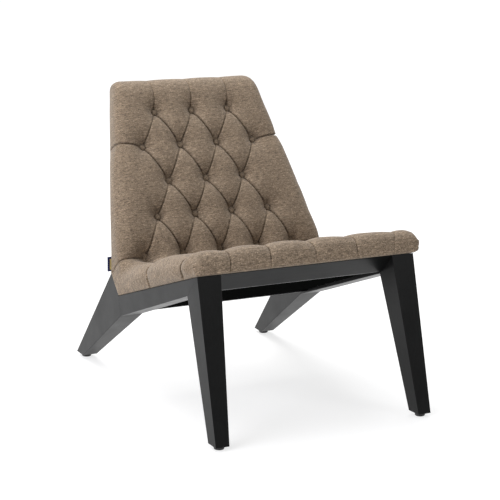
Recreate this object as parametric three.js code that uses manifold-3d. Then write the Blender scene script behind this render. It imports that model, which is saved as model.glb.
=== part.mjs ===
// A slipper chair: a black painted beech frame on splayed legs, carrying a deep-buttoned upholstered shell.
// Millimetres, +X to the right seen from the front, +Y to the back, +Z up. The origin is on the floor, in the middle of the footprint.
import * as THREE from "three";
import { ConvexGeometry } from "three/addons/geometries/ConvexGeometry.js";
import { mergeVertices } from "three/addons/utils/BufferGeometryUtils.js";
import Module from "manifold-3d";

// ---- Driving dimensions ----
const HALF_W = 285; // outer faces of the two side frames
const GLIDE_H = 9; // the wooden feet stand this far off the floor
const GAP = 0.3; // clearance between touching pieces
// Side frame corners in the side view, as [y, z]
const A = [-417.1, 9]; // front foot, front edge
const B = [-377.6, 9]; // front foot, back edge
const C = [-317.0, 378.4]; // top front corner: front leg meets side rail
const D = [-266.3, 322.7]; // back of the front leg meets the rail's bottom edge
const E = [117.3, 180.6]; // rail's bottom edge meets the rear leg
const G = [372.0, 9]; // rear foot, front edge
const H = [417.1, 9]; // rear foot, back edge
const I = [176.1, 277.1]; // rear leg's upper back corner
const J = [129.5, 229.4]; // rear end of the rail's top edge
const RAIL_T = 59.5; // thickness of the side rails and of the leg tops, across X
const FRONT_FOOT_T = 34.2; // the legs' inner faces taper to this at the floor
const REAR_FOOT_T = 39.2;
const CROSS_GAP = 5; // the cross rails' lower faces sit this far above the side rails'
const TENON_T = 10;
const TENON_L = 36;
const FRONT_JOINT = [20, 30]; // width and length of the loose tenon across each mitre
const REAR_JOINT = [22, TENON_L];
const SEAT_PANEL_T = 12;
const BACK_PANEL_T = 8;
const STILE_T = 22;
const STILE_W = 38;
const RECLINE = THREE.MathUtils.degToRad(29.1); // of the back, from the vertical
const SEAT_TILT = Math.atan2(C[1] - J[1], J[0] - C[0]); // the seat falls to the back
const BACK_BASE = [134.4, 325.4]; // the middle button of the crease row, as [y, z]
const BACK_REAR = -59.5; // rear face of the back pad, in front of (+) or behind (-) the buttons
const BACK_FRONT = 22; // the puffed front surface of the back pad
const BACK_TOP = 463; // length of the back above the crease row
const BACK_HW = 279; // half width of the back's rear edge at the crease row
const BACK_TAPER = 0.196; // and how much it loses for each mm up the back
const SEAT_H = 62; // height of the seat's puffed surface over the rails
const COL = 104.4; // spacing of the buttons along a row
const BUTTON_R = 9;
const SEAT_BUTTON_H = 34; // height of the seat buttons over the rails
const BACK_ROWS = [
  { s: 373.1, cols: [-1, 0, 1] },
  { s: 281.9, cols: [-1.5, -0.5, 0.5, 1.5] },
  { s: 186.7, cols: [-1, 0, 1] },
  { s: 94.6, cols: [-1.5, -0.5, 0.5, 1.5] },
  { s: 0, cols: [-2, -1, 0, 1, 2] },
];
const SEAT_ROWS = [
  { t: 97, cols: [-1.5, -0.5, 0.5, 1.5] },
  { t: 180, cols: [-2, -1, 0, 1, 2] },
  { t: 285, cols: [-1.5, -0.5, 0.5, 1.5] },
  { t: 390, cols: [-2, -1, 0, 1, 2] },
];
const BLOCK_LEG = 80; // corner block, along each rail
const FRONT_RAIL_BACK = 398; // rear face of the front rail, along the seat from its rear end
const REAR_RAIL_FRONT = 34;
const INNER_X = HALF_W - RAIL_T;

// ---- Finishes ----
const paint = new THREE.MeshStandardMaterial({ color: 0x2b2c2c, roughness: 0.42, metalness: 0 });
const beech = new THREE.MeshStandardMaterial({ color: 0xb98f62, roughness: 0.65, metalness: 0 });
const ply = new THREE.MeshStandardMaterial({ color: 0xc8a878, roughness: 0.7, metalness: 0 });
const fabric = new THREE.MeshStandardMaterial({ color: 0x7d6f5f, roughness: 0.95, metalness: 0 });
const lining = new THREE.MeshStandardMaterial({ color: 0x141414, roughness: 0.95, metalness: 0 });
const steel = new THREE.MeshStandardMaterial({ color: 0x9a9c9e, roughness: 0.35, metalness: 1 });
const plastic = new THREE.MeshStandardMaterial({ color: 0x1b1b1c, roughness: 0.5, metalness: 0 });
const tabCloth = new THREE.MeshStandardMaterial({ color: 0x23283f, roughness: 0.9, metalness: 0 });

const wasm = await Module();
wasm.setup();

// ---- Helpers ----
function solidOf(geometry) {
  const g = new THREE.BufferGeometry();
  g.setAttribute("position", geometry.getAttribute("position").clone());
  if (geometry.index) g.setIndex(geometry.index.clone());
  const merged = mergeVertices(g, 1e-4);
  const made = new wasm.Manifold(
    new wasm.Mesh({
      numProp: 3,
      vertProperties: new Float32Array(merged.attributes.position.array),
      triVerts: new Uint32Array(merged.index.array),
    }),
  );
  return made;
}
function geometryOf(solid) {
  const m = solid.getMesh();
  const p = new Float32Array(m.numVert * 3);
  for (let i = 0; i < m.numVert; i++)
    for (let k = 0; k < 3; k++) p[3 * i + k] = m.vertProperties[i * m.numProp + k];
  const g = new THREE.BufferGeometry();
  g.setAttribute("position", new THREE.BufferAttribute(p, 3));
  g.setIndex(new THREE.BufferAttribute(new Uint32Array(m.triVerts), 1));
  const flat = g.toNonIndexed();
  flat.computeVertexNormals();
  return flat;
}
const cut = (geometry, ...tools) =>
  geometryOf(tools.reduce((s, t) => s.subtract(solidOf(t)), solidOf(geometry)));
const join = (...list) => geometryOf(list.slice(1).reduce((s, t) => s.add(solidOf(t)), solidOf(list[0])));
function add(parent, name, geometry, material) {
  const mesh = new THREE.Mesh(geometry, material);
  mesh.name = name;
  parent.add(mesh);
  return mesh;
}
// A polygon with each edge i (from point i to point i+1) moved inwards by d, or by d[i].
function inset(points, d) {
  const n = points.length;
  const area = points.reduce((s, p, i) => {
    const q = points[(i + 1) % n];
    return s + p[0] * q[1] - q[0] * p[1];
  }, 0);
  const turn = area > 0 ? 1 : -1;
  const edge = points.map((p, i) => {
    const q = points[(i + 1) % n];
    const l = Math.hypot(q[0] - p[0], q[1] - p[1]);
    const u = [(q[0] - p[0]) / l, (q[1] - p[1]) / l];
    const m = [-u[1] * turn, u[0] * turn];
    const k = Array.isArray(d) ? d[i] : d;
    return { p: [p[0] + m[0] * k, p[1] + m[1] * k], u };
  });
  return points.map((_, i) => {
    const a = edge[(i + n - 1) % n];
    const b = edge[i];
    const den = a.u[0] * b.u[1] - a.u[1] * b.u[0];
    if (Math.abs(den) < 1e-6) return b.p;
    const w = ((b.p[0] - a.p[0]) * b.u[1] - (b.p[1] - a.p[1]) * b.u[0]) / den;
    return [a.p[0] + a.u[0] * w, a.p[1] + a.u[1] * w];
  });
}
const shapeOf = (points) => new THREE.Shape(points.map((p) => new THREE.Vector2(p[0], p[1])));
// A prism whose outline is in the Y-Z plane, from x0 to x1.
function prismX(points, x0, x1) {
  const g = new THREE.ExtrudeGeometry(shapeOf(points), { depth: x1 - x0, bevelEnabled: false });
  g.applyMatrix4(
    new THREE.Matrix4().makeBasis(
      new THREE.Vector3(0, 1, 0),
      new THREE.Vector3(0, 0, 1),
      new THREE.Vector3(1, 0, 0),
    ),
  );
  return g.translate(x0, 0, 0);
}
function box(x0, x1, y0, y1, z0, z1) {
  return new THREE.BoxGeometry(x1 - x0, y1 - y0, z1 - z0).translate((x0 + x1) / 2, (y0 + y1) / 2, (z0 + z1) / 2);
}
// A closed cylinder, or cone, from p to q.
function rod(p, q, r0, r1 = r0, sides = 8) {
  const a = new THREE.Vector3(...p);
  const b = new THREE.Vector3(...q);
  const g = new THREE.CylinderGeometry(r1, r0, a.distanceTo(b), sides);
  g.applyQuaternion(new THREE.Quaternion().setFromUnitVectors(new THREE.Vector3(0, 1, 0), b.clone().sub(a).normalize()));
  const c = a.add(b).multiplyScalar(0.5);
  return g.translate(c.x, c.y, c.z);
}
// A turned solid on the Z axis from [radius, z] points that start and end on the axis.
function turned(profile, sides) {
  const g = new THREE.LatheGeometry(profile.map((p) => new THREE.Vector2(p[0], p[1])), sides);
  return g.rotateX(Math.PI / 2);
}
// A closed skin over rings of points with equal counts. The end rings are flat, and may be concave.
function loft(rings) {
  const n = rings[0].length;
  const pos = [];
  rings.forEach((r) => r.forEach((p) => pos.push(...p)));
  const idx = [];
  for (let i = 0; i + 1 < rings.length; i++)
    for (let k = 0; k < n; k++) {
      const a = i * n + k;
      const b = i * n + ((k + 1) % n);
      idx.push(a, b, b + n, a, b + n, a + n);
    }
  for (const first of [0, (rings.length - 1) * n]) {
    const ring = rings[first / n].map((p) => new THREE.Vector3(...p));
    const normal = new THREE.Vector3();
    ring.forEach((p, k) => normal.add(p.clone().cross(ring[(k + 1) % n])));
    const u = ring[1].clone().sub(ring[0]).normalize();
    const v = normal.normalize().clone().cross(u);
    const flat = ring.map((p) => new THREE.Vector2(p.dot(u), p.dot(v)));
    for (const [a, b, c] of THREE.ShapeUtils.triangulateShape(flat, []))
      idx.push(...(first ? [first + a, first + b, first + c] : [c, b, a]));
  }
  const g = new THREE.BufferGeometry();
  g.setAttribute("position", new THREE.BufferAttribute(new Float32Array(pos), 3));
  g.setIndex(idx);
  let volume = 0;
  for (let i = 0; i < idx.length; i += 3) {
    const [a, b, c] = [0, 1, 2].map((k) => new THREE.Vector3().fromArray(pos, 3 * idx[i + k]));
    volume += a.dot(b.cross(c));
  }
  if (volume < 0) for (let i = 0; i < idx.length; i += 3) [idx[i + 1], idx[i + 2]] = [idx[i + 2], idx[i + 1]];
  g.setIndex(idx);
  return g;
}

// ---- The two tilted frames ----
// Seat plane: t runs forwards from J along the rail's top edge, h is the height over it. Local y is -t, local z is h.
const cosT = Math.cos(SEAT_TILT);
const sinT = Math.sin(SEAT_TILT);
const fromSeat = ([t, h]) => [J[0] - t * cosT + h * sinT, J[1] + t * sinT + h * cosT];
const toSeat = ([y, z]) => [-(y - J[0]) * cosT + (z - J[1]) * sinT, (y - J[0]) * sinT + (z - J[1]) * cosT];
// Back plane: s runs up the back from the crease row, n is the distance in front of the buttons. Local y is -n, local z is s.
const cosB = Math.cos(RECLINE);
const sinB = Math.sin(RECLINE);
const fromBack = (s, n) => [BACK_BASE[0] + s * sinB - n * cosB, BACK_BASE[1] + s * cosB + n * sinB];
const toBack = ([y, z]) => [
  (y - BACK_BASE[0]) * sinB + (z - BACK_BASE[1]) * cosB,
  -(y - BACK_BASE[0]) * cosB + (z - BACK_BASE[1]) * sinB,
];
const iBack = toBack(I); // the shell's rear corner in the back's frame
const crease = (n) => (iBack[0] / iBack[1]) * n; // s on the mitre between the pads, which runs from I through the crease row

const chair = new THREE.Group();
const seat = new THREE.Group();
seat.position.set(0, J[0], J[1]);
seat.rotation.x = -SEAT_TILT;
const back = new THREE.Group();
back.position.set(0, BACK_BASE[0], BACK_BASE[1]);
back.rotation.x = -RECLINE;
chair.add(seat, back);
const seatLocal = (t, h) => [-t, h]; // as [y, z]
const backInSeat = (s, n) => {
  const [t, h] = toSeat(fromBack(s, n));
  return [t, h];
};

// ---- Side frames ----
// The inner face of a leg is a plane through its joint line (at RAIL_T) and its foot (at foot).
function innerPlane(p, q, f, foot) {
  const e = [q[0] - p[0], q[1] - p[1]];
  const v = [f[0] - p[0], f[1] - p[1]];
  const k = (foot - RAIL_T) / (v[0] * e[1] - v[1] * e[0]);
  return ([y, z]) => RAIL_T + k * ((y - p[0]) * e[1] - (z - p[1]) * e[0]);
}
const frontInner = innerPlane(C, D, A, FRONT_FOOT_T);
const rearInner = innerPlane(E, J, G, REAR_FOOT_T);
// A leg: its outline's outer corners at HALF_W and its inner corners on the tapering inner face.
function legSolid(points, inner, side) {
  const v = [];
  for (const p of points)
    v.push(
      new THREE.Vector3(side * HALF_W, p[0], p[1]),
      new THREE.Vector3(side * (HALF_W - inner(p)), p[0], p[1]),
    );
  return new ConvexGeometry(v);
}
// A loose tenon across a joint line p-q of a side frame, in the middle of the timber.
function tenonAcross(p, q, side, [width, length], grow = 0) {
  const l = Math.hypot(q[0] - p[0], q[1] - p[1]);
  const u = [(q[0] - p[0]) / l, (q[1] - p[1]) / l];
  const m = [-u[1], u[0]];
  const c = [p[0] + (q[0] - p[0]) * 0.55, p[1] + (q[1] - p[1]) * 0.55];
  const hl = length / 2 + grow;
  const hw = width / 2 + grow;
  const r = 4; // rounded edges, here as chamfers
  const at = (a, b) => [c[0] + m[0] * a + u[0] * b, c[1] + m[1] * a + u[1] * b];
  const pts = [at(-hl, -hw), at(hl, -hw), at(hl, hw), at(-hl, hw)];
  const x = HALF_W - RAIL_T / 2;
  const x0 = x - TENON_T / 2 - grow;
  const x1 = x + TENON_T / 2 + grow;
  const v = [];
  for (const [k, o] of [[0, -1], [1, -1], [2, 1], [3, 1]]) {
    const p0 = pts[k];
    const inward = [p0[0] - u[0] * o * r, p0[1] - u[1] * o * r];
    v.push(new THREE.Vector3(side * (x0 + r), p0[0], p0[1]), new THREE.Vector3(side * (x1 - r), p0[0], p0[1]));
    v.push(new THREE.Vector3(side * x0, inward[0], inward[1]), new THREE.Vector3(side * x1, inward[0], inward[1]));
  }
  return new ConvexGeometry(v);
}
// A loose tenon along X at a cross rail's end, in the seat frame, as a box t0..t1, h0..h1.
function tenonAlong(t0, t1, h0, h1, side, grow = 0) {
  const x0 = INNER_X - TENON_L / 2 - grow;
  const x1 = INNER_X + TENON_L / 2 + grow;
  return box(...[side * x0, side * x1].sort((a, b) => a - b), -t1 - grow, -t0 + grow, h0 - grow, h1 + grow);
}
const FRONT_TENON = [403, 429, -19, -9];
const REAR_TENON = [12, 22, -36, -12];
const toWorld = (group, geometry) => {
  group.updateMatrix();
  return geometry.clone().applyMatrix4(group.matrix);
};
const glideAt = {
  front: [HALF_W - 17.6, (A[0] + B[0]) / 2],
  rear: [HALF_W - 18.9, (G[0] + H[0]) / 2],
};
const PIN_R = 2;
const PIN_TOP = 22.5;
for (const [word, side] of [
  ["left", -1],
  ["right", 1],
]) {
  const frontPts = inset([A, B, D, C], [0, 0, GAP / 2, 0]);
  const railPts = inset([C, D, E, J], [GAP / 2, 0, GAP / 2, 0]);
  const rearPts = inset([E, G, H, I, J], [0, 0, 0, 0, GAP / 2]);
  const hole = (k) =>
    rod([side * glideAt[k][0], glideAt[k][1], 0], [side * glideAt[k][0], glideAt[k][1], PIN_TOP + 1.5], PIN_R + 0.4);
  add(
    chair,
    "front_leg_" + word,
    cut(legSolid(frontPts, frontInner, side), tenonAcross(C, D, side, FRONT_JOINT, GAP), hole("front")),
    paint,
  );
  add(
    chair,
    "rear_leg_" + word,
    cut(legSolid(rearPts, rearInner, side), tenonAcross(E, J, side, REAR_JOINT, GAP), hole("rear")),
    paint,
  );
  const x = [side * INNER_X, side * HALF_W].sort((a, b) => a - b);
  add(
    chair,
    "side_rail_" + word,
    cut(
      prismX(railPts, x[0], x[1]),
      tenonAcross(C, D, side, FRONT_JOINT, GAP),
      tenonAcross(E, J, side, REAR_JOINT, GAP),
      toWorld(seat, tenonAlong(...FRONT_TENON, side, GAP)),
      toWorld(seat, tenonAlong(...REAR_TENON, side, GAP)),
    ),
    paint,
  );
  add(chair, "loose_tenon_front_leg_" + word, tenonAcross(C, D, side, FRONT_JOINT), beech);
  add(chair, "loose_tenon_rear_leg_" + word, tenonAcross(E, J, side, REAR_JOINT), beech);
  add(seat, "loose_tenon_front_rail_" + word, tenonAlong(...FRONT_TENON, side), beech);
  add(seat, "loose_tenon_rear_rail_" + word, tenonAlong(...REAR_TENON, side), beech);
  // Glides: a round foot with its own pin, driven into the end grain.
  for (const k of ["front", "rear"]) {
    const g = turned(
      [
        [0, 0],
        [10.5, 0],
        [12, 1.5],
        [12, 7],
        [11, GLIDE_H - GAP],
        [PIN_R, GLIDE_H - GAP],
        [PIN_R, PIN_TOP - 2],
        [0, PIN_TOP],
      ],
      12,
    );
    const mesh = add(chair, "glide_" + k + "_" + word, g, plastic);
    mesh.position.set(side * glideAt[k][0], glideAt[k][1], 0);
  }
}

// ---- Cross rails, in the seat frame ----
const frontRail = [
  [469.4, -0.5],
  [469.4 - ((32.3 - 0.5) * (toSeat(C)[0] - toSeat(D)[0])) / -toSeat(D)[1], -32.3],
  [FRONT_RAIL_BACK, -32.3],
  [FRONT_RAIL_BACK, -0.5],
];
const rearRail = [
  [REAR_RAIL_FRONT, -0.5],
  [REAR_RAIL_FRONT, toSeat(E)[1] + CROSS_GAP],
  [-2.4, toSeat(E)[1] + CROSS_GAP],
  [1, -0.5],
];
const seatPoly = (pts) => pts.map(([t, h]) => seatLocal(t, h));
add(
  seat,
  "front_rail",
  cut(
    prismX(seatPoly(frontRail), -INNER_X + GAP, INNER_X - GAP),
    tenonAlong(...FRONT_TENON, 1, GAP),
    tenonAlong(...FRONT_TENON, -1, GAP),
  ),
  paint,
);
add(
  seat,
  "rear_rail",
  cut(
    prismX(seatPoly(rearRail), -INNER_X + GAP, INNER_X - GAP),
    tenonAlong(...REAR_TENON, 1, GAP),
    tenonAlong(...REAR_TENON, -1, GAP),
  ),
  paint,
);

// ---- Corner blocks, the bolts that hold the shell, and their tee nuts ----
const BOLT_R = 3;
const bolts = {
  front: { x: 195, t: 370, top: -4.5, bottom: -20.5 },
  rear: { x: 195, t: 62, top: -12, bottom: -30 },
};
for (const [word, side] of [
  ["left", -1],
  ["right", 1],
])
  for (const k of ["front", "rear"]) {
    const b = bolts[k];
    const xi = INNER_X - GAP;
    const t0 = k === "front" ? FRONT_RAIL_BACK - GAP : REAR_RAIL_FRONT + GAP;
    const dir = k === "front" ? -1 : 1;
    const tri = [
      [side * xi, -t0],
      [side * xi, -(t0 + dir * BLOCK_LEG)],
      [side * (xi - 14), -(t0 + dir * BLOCK_LEG)],
      [side * (xi - BLOCK_LEG), -(t0 + dir * 14)],
      [side * (xi - BLOCK_LEG), -t0],
    ];
    const block = new THREE.ExtrudeGeometry(shapeOf(tri), { depth: b.top - b.bottom, bevelEnabled: false });
    block.translate(0, 0, b.bottom);
    add(
      seat,
      "corner_block_" + k + "_" + word,
      cut(block, rod([side * b.x, -b.t, b.bottom - 5], [side * b.x, -b.t, b.top + 5], BOLT_R + 0.5)),
      beech,
    );
    const bolt = turned(
      [
        [0, b.bottom - GAP - 4],
        [5.5, b.bottom - GAP - 4],
        [6.5, b.bottom - GAP - 2.5],
        [6.5, b.bottom - GAP],
        [BOLT_R, b.bottom - GAP],
        [BOLT_R, 14],
        [0, 14.6],
      ],
      8,
    );
    add(seat, "shell_bolt_" + k + "_" + word, bolt, steel).position.set(side * b.x, -b.t, 0);
    const nut = cut(
      turned(
        [
          [0, 3.5],
          [5, 3.5],
          [5, SEAT_PANEL_T + 0.4 + GAP],
          [10, SEAT_PANEL_T + 0.4 + GAP],
          [10, SEAT_PANEL_T + 0.4 + GAP + 1.4],
          [0, SEAT_PANEL_T + 0.4 + GAP + 1.4],
        ],
        8,
      ),
      rod([0, 0, 0], [0, 0, 20], BOLT_R + 0.5),
    );
    add(seat, "tee_nut_" + k + "_" + word, nut, steel).position.set(side * b.x, -b.t, 0);
  }

// ---- Dust cover and the battens that it is stapled to ----
const dust = (t) => -27 + ((t - FRONT_RAIL_BACK) * 13) / (FRONT_RAIL_BACK - REAR_RAIL_FRONT);
const DUST_T = 1.2;
add(
  seat,
  "dust_cover",
  prismX(
    seatPoly([
      [FRONT_RAIL_BACK - 0.6, dust(FRONT_RAIL_BACK)],
      [REAR_RAIL_FRONT + 0.6, dust(REAR_RAIL_FRONT)],
      [REAR_RAIL_FRONT + 0.6, dust(REAR_RAIL_FRONT) - DUST_T],
      [FRONT_RAIL_BACK - 0.6, dust(FRONT_RAIL_BACK) - DUST_T],
    ]),
    -INNER_X + 0.6,
    INNER_X - 0.6,
  ),
  lining,
);
for (const [word, side] of [
  ["left", -1],
  ["right", 1],
]) {
  const x = [side * (INNER_X - GAP), side * (INNER_X - 16)].sort((a, b) => a - b);
  add(
    seat,
    "dust_cover_batten_" + word,
    prismX(
      seatPoly([
        [FRONT_RAIL_BACK - BLOCK_LEG - 2, dust(FRONT_RAIL_BACK - BLOCK_LEG - 2) + GAP],
        [REAR_RAIL_FRONT + BLOCK_LEG + 2, dust(REAR_RAIL_FRONT + BLOCK_LEG + 2) + GAP],
        [REAR_RAIL_FRONT + BLOCK_LEG + 2, dust(REAR_RAIL_FRONT + BLOCK_LEG + 2) + 15],
        [FRONT_RAIL_BACK - BLOCK_LEG - 2, dust(FRONT_RAIL_BACK - BLOCK_LEG - 2) + 15],
      ]),
      x[0],
      x[1],
    ),
    beech,
  );
}

// ---- Shell: seat panel ----
const PANEL_Z = 0.4;
const FLOOR = SEAT_PANEL_T + PANEL_Z + GAP; // pieces on top of the seat panel stand at this height
const SEAT_PANEL = { x: 266, t0: 3, t1: 457 };
const HEEL_SCREWS = [-130, 130];
const HEEL_SCREW_T = 7;
const N_REAR = -48.7; // rear and front faces of the heel bar and the stiles, in the back's frame
const N_FRONT = -26.7;
// The point of the line n = const of the back's frame at height h of the seat's frame.
const downTo = (n, h) => {
  const p = backInSeat(0, n);
  const q = backInSeat(-100, n);
  const k = (p[1] - h) / (p[1] - q[1]);
  return [p[0] + (q[0] - p[0]) * k, h];
};
const heel = (() => {
  const i = toSeat(I);
  const skin = 3; // cover over the bar's lower rear face
  const l = Math.hypot(i[0], i[1]);
  const onFace = (k) => [(i[0] * k) + (i[1] / l) * skin, i[1] * k - (i[0] / l) * skin];
  const kAt = (h) => (h + (i[0] / l) * skin) / i[1];
  const low = onFace(kAt(FLOOR));
  // where the sloping lower rear face meets the bar's rear plane
  let k = kAt(FLOOR);
  while (toBack(fromSeat(onFace(k)))[1] > N_REAR) k += 0.002;
  return [
    backInSeat(crease(N_REAR) - 1.5, N_REAR),
    backInSeat(crease(N_FRONT) - 1.5, N_FRONT),
    downTo(N_FRONT, FLOOR),
    low,
    onFace(k),
  ];
})();
const holePath = (x, y, r, sides = 6) => {
  const p = new THREE.Path();
  for (let i = 0; i < sides; i++) {
    const a = (-2 * Math.PI * i) / sides;
    const q = [x + r * Math.cos(a), y + r * Math.sin(a)];
    if (i) p.lineTo(...q);
    else p.moveTo(...q);
  }
  p.closePath();
  return p;
};
{
  const s = shapeOf([
    [-SEAT_PANEL.x, -SEAT_PANEL.t1 + 18],
    [-SEAT_PANEL.x + 18, -SEAT_PANEL.t1],
    [SEAT_PANEL.x - 18, -SEAT_PANEL.t1],
    [SEAT_PANEL.x, -SEAT_PANEL.t1 + 18],
    [SEAT_PANEL.x, -SEAT_PANEL.t0],
    [-SEAT_PANEL.x, -SEAT_PANEL.t0],
  ]);
  for (const row of SEAT_ROWS) for (const c of row.cols) s.holes.push(holePath(c * COL, -row.t, 3));
  for (const side of [-1, 1]) for (const k of ["front", "rear"]) s.holes.push(holePath(side * bolts[k].x, -bolts[k].t, 5.6, 8));
  for (const x of HEEL_SCREWS) s.holes.push(holePath(x, -HEEL_SCREW_T, 3, 8));
  const g = new THREE.ExtrudeGeometry(s, { depth: SEAT_PANEL_T, bevelEnabled: false });
  g.translate(0, 0, PANEL_Z);
  const sinks = HEEL_SCREWS.map((x) => rod([x, -HEEL_SCREW_T, PANEL_Z - 1], [x, -HEEL_SCREW_T, 5], 5.4, 2.7));
  add(seat, "seat_base_panel", cut(g, ...sinks), ply);
}
add(
  seat,
  "heel_bar",
  cut(
    prismX(seatPoly(heel), -262, 262),
    ...HEEL_SCREWS.map((x) => rod([x, -HEEL_SCREW_T, 0], [x, -HEEL_SCREW_T, 27], 2.9)),
  ),
  beech,
);
HEEL_SCREWS.forEach((x, i) =>
  add(
    seat,
    "heel_screw_" + (i ? "right" : "left"),
    turned(
      [
        [0, 0.8],
        [4.4, 0.8],
        [2.4, 4.6],
        [2.4, 24],
        [0, 26],
      ],
      8,
    ),
    steel,
  ).position.set(x, -HEEL_SCREW_T, 0),
);

// ---- Shell: back frame and panel, in the back frame ----
const hwAt = (s) => BACK_HW - BACK_TAPER * s;
const FRAME_TOP = 438;
const PANEL_N0 = -57;
const STILE_N0 = N_REAR;
const backPoly = (pts, n0, n1) => {
  // An outline in [x, s], n0 to n1 thick.
  const g = new THREE.ExtrudeGeometry(pts instanceof THREE.Shape ? pts : shapeOf(pts), { depth: n1 - n0, bevelEnabled: false });
  g.applyMatrix4(
    new THREE.Matrix4().makeBasis(
      new THREE.Vector3(1, 0, 0),
      new THREE.Vector3(0, 0, 1),
      new THREE.Vector3(0, -1, 0),
    ),
  );
  return g.translate(0, -n0, 0);
};
{
  const s0 = crease(PANEL_N0 + BACK_PANEL_T) + 1;
  const x = (s) => hwAt(s) - 12;
  const outline = shapeOf([
    [-x(s0), s0],
    [x(s0), s0],
    [x(FRAME_TOP - 14), FRAME_TOP - 14],
    [x(FRAME_TOP) - 14, FRAME_TOP],
    [-x(FRAME_TOP) + 14, FRAME_TOP],
    [-x(FRAME_TOP - 14), FRAME_TOP - 14],
  ]);
  for (const row of BACK_ROWS) for (const c of row.cols) outline.holes.push(holePath(c * COL, row.s, 3));
  add(back, "back_panel", backPoly(outline, PANEL_N0, PANEL_N0 + BACK_PANEL_T), ply);
}
const stileOut = (s) => hwAt(s) - 12.5;
const stileS0 = crease(STILE_N0 + STILE_T) + 1;
const TOP_RAIL_S = 408;
for (const [word, side] of [
  ["left", -1],
  ["right", 1],
]) {
  const pts = [
    [side * stileOut(stileS0), stileS0],
    [side * stileOut(FRAME_TOP - 14), FRAME_TOP - 14],
    [side * (stileOut(FRAME_TOP) - 14), FRAME_TOP],
    [side * (stileOut(FRAME_TOP) - STILE_W), FRAME_TOP],
    [side * (stileOut(stileS0) - STILE_W), stileS0],
  ];
  add(back, "back_stile_" + word, backPoly(pts, STILE_N0, STILE_N0 + STILE_T), beech);
}
add(
  back,
  "back_top_rail",
  backPoly(
    [
      [-(stileOut(TOP_RAIL_S) - STILE_W - 2), TOP_RAIL_S],
      [stileOut(TOP_RAIL_S) - STILE_W - 2, TOP_RAIL_S],
      [stileOut(FRAME_TOP) - STILE_W - 0.4, FRAME_TOP],
      [-(stileOut(FRAME_TOP) - STILE_W - 0.4), FRAME_TOP],
    ],
    STILE_N0,
    STILE_N0 + STILE_T,
  ),
  beech,
);
// Bent steel brackets that tie each stile to the seat panel, in the seat frame.
const BRACKET = { x0: 236, x1: 260, s1: 62, t1: 78, t: 3 };
const bracketOutline = [
  backInSeat(BRACKET.s1, N_FRONT + GAP),
  downTo(N_FRONT + GAP, FLOOR),
  [BRACKET.t1, FLOOR],
  [BRACKET.t1, FLOOR + BRACKET.t],
  downTo(N_FRONT + GAP + BRACKET.t, FLOOR + BRACKET.t),
  backInSeat(BRACKET.s1, N_FRONT + GAP + BRACKET.t),
];
const bracket = (side, grow = 0) =>
  prismX(
    seatPoly(grow ? inset(bracketOutline, -grow) : bracketOutline),
    ...[side * (BRACKET.x0 - grow), side * (BRACKET.x1 + grow)].sort((a, b) => a - b),
  );
for (const [word, side] of [
  ["left", -1],
  ["right", 1],
])
  add(seat, "back_bracket_" + word, bracket(side), steel);

// ---- Pads ----
const buttonPlaces = [];
for (const row of BACK_ROWS) for (const c of row.cols) buttonPlaces.push({ frame: back, x: c * COL, s: row.s });
for (const row of SEAT_ROWS) for (const c of row.cols) buttonPlaces.push({ frame: seat, x: c * COL, t: row.t });
// The dimple around a button, and the way of its twine through the pad.
const dimple = (b) =>
  b.frame === back
    ? [
        rod([b.x, -(BACK_FRONT + 4), b.s], [b.x, 4, b.s], 27, 11),
        rod([b.x, 0, b.s], [b.x, 50, b.s], 3, 3, 6),
      ]
    : [
        rod([b.x, -b.t, SEAT_H + 3], [b.x, -b.t, SEAT_BUTTON_H - 4], 27, 11),
        rod([b.x, -b.t, SEAT_BUTTON_H], [b.x, -b.t, 0], 3, 3, 8),
      ];
// Seat pad: an outline in [t, h], rounded in at both sides.
const seatOutline = [
  [0.2, 0.4],
  [235, 0.4],
  [468, 0.4],
  [476, 8],
  [481, 22],
  [479, 37],
  [471, 50],
  [457, 58.5],
  [437, SEAT_H],
  [235, SEAT_H],
  [118, SEAT_H],
  [76, 67],
  [52, 78],
  backInSeat(crease(BACK_FRONT - 4) - GAP / 2, BACK_FRONT - 4),
  backInSeat(crease(-20) - GAP / 2, -20),
  backInSeat(iBack[0] - GAP / 2, iBack[1] + 0.6),
];
const seatRings = [
  [296, 15],
  [294.5, 9],
  [290, 4.5],
  [283, 1.2],
  [268, 0],
];
const ringAt = (x, d) => inset(seatOutline, d).map(([t, h]) => [x, -t, h]);
let seatPad = loft([
  ...seatRings.map(([x, d]) => ringAt(-x, d)),
  ...seatRings.toReversed().map(([x, d]) => ringAt(x, d)),
]);
const seatTools = [
  box(-SEAT_PANEL.x - 0.4, SEAT_PANEL.x + 0.4, -SEAT_PANEL.t1 - 0.4, -SEAT_PANEL.t0 + 0.4, -40, FLOOR + 0.05),
  prismX(seatPoly(inset(heel, -0.4)), -262.4, 262.4),
];
for (const side of [-1, 1])
  for (const k of ["front", "rear"])
    seatTools.push(rod([side * bolts[k].x, -bolts[k].t, 0], [side * bolts[k].x, -bolts[k].t, 15.2], 10.6));
seat.updateMatrix();
back.updateMatrix();
const backToSeat = new THREE.Matrix4().copy(seat.matrix).invert().multiply(back.matrix);
const seatToBack = new THREE.Matrix4().copy(back.matrix).invert().multiply(seat.matrix);
for (const side of [-1, 1]) seatTools.push(bracket(side, 0.4));
for (const b of buttonPlaces) {
  if (b.frame === seat) seatTools.push(...dimple(b));
  else if (b.s === 0) seatTools.push(dimple(b)[0].applyMatrix4(backToSeat));
}
add(seat, "seat_pad", cut(seatPad, ...seatTools), fabric);

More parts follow.
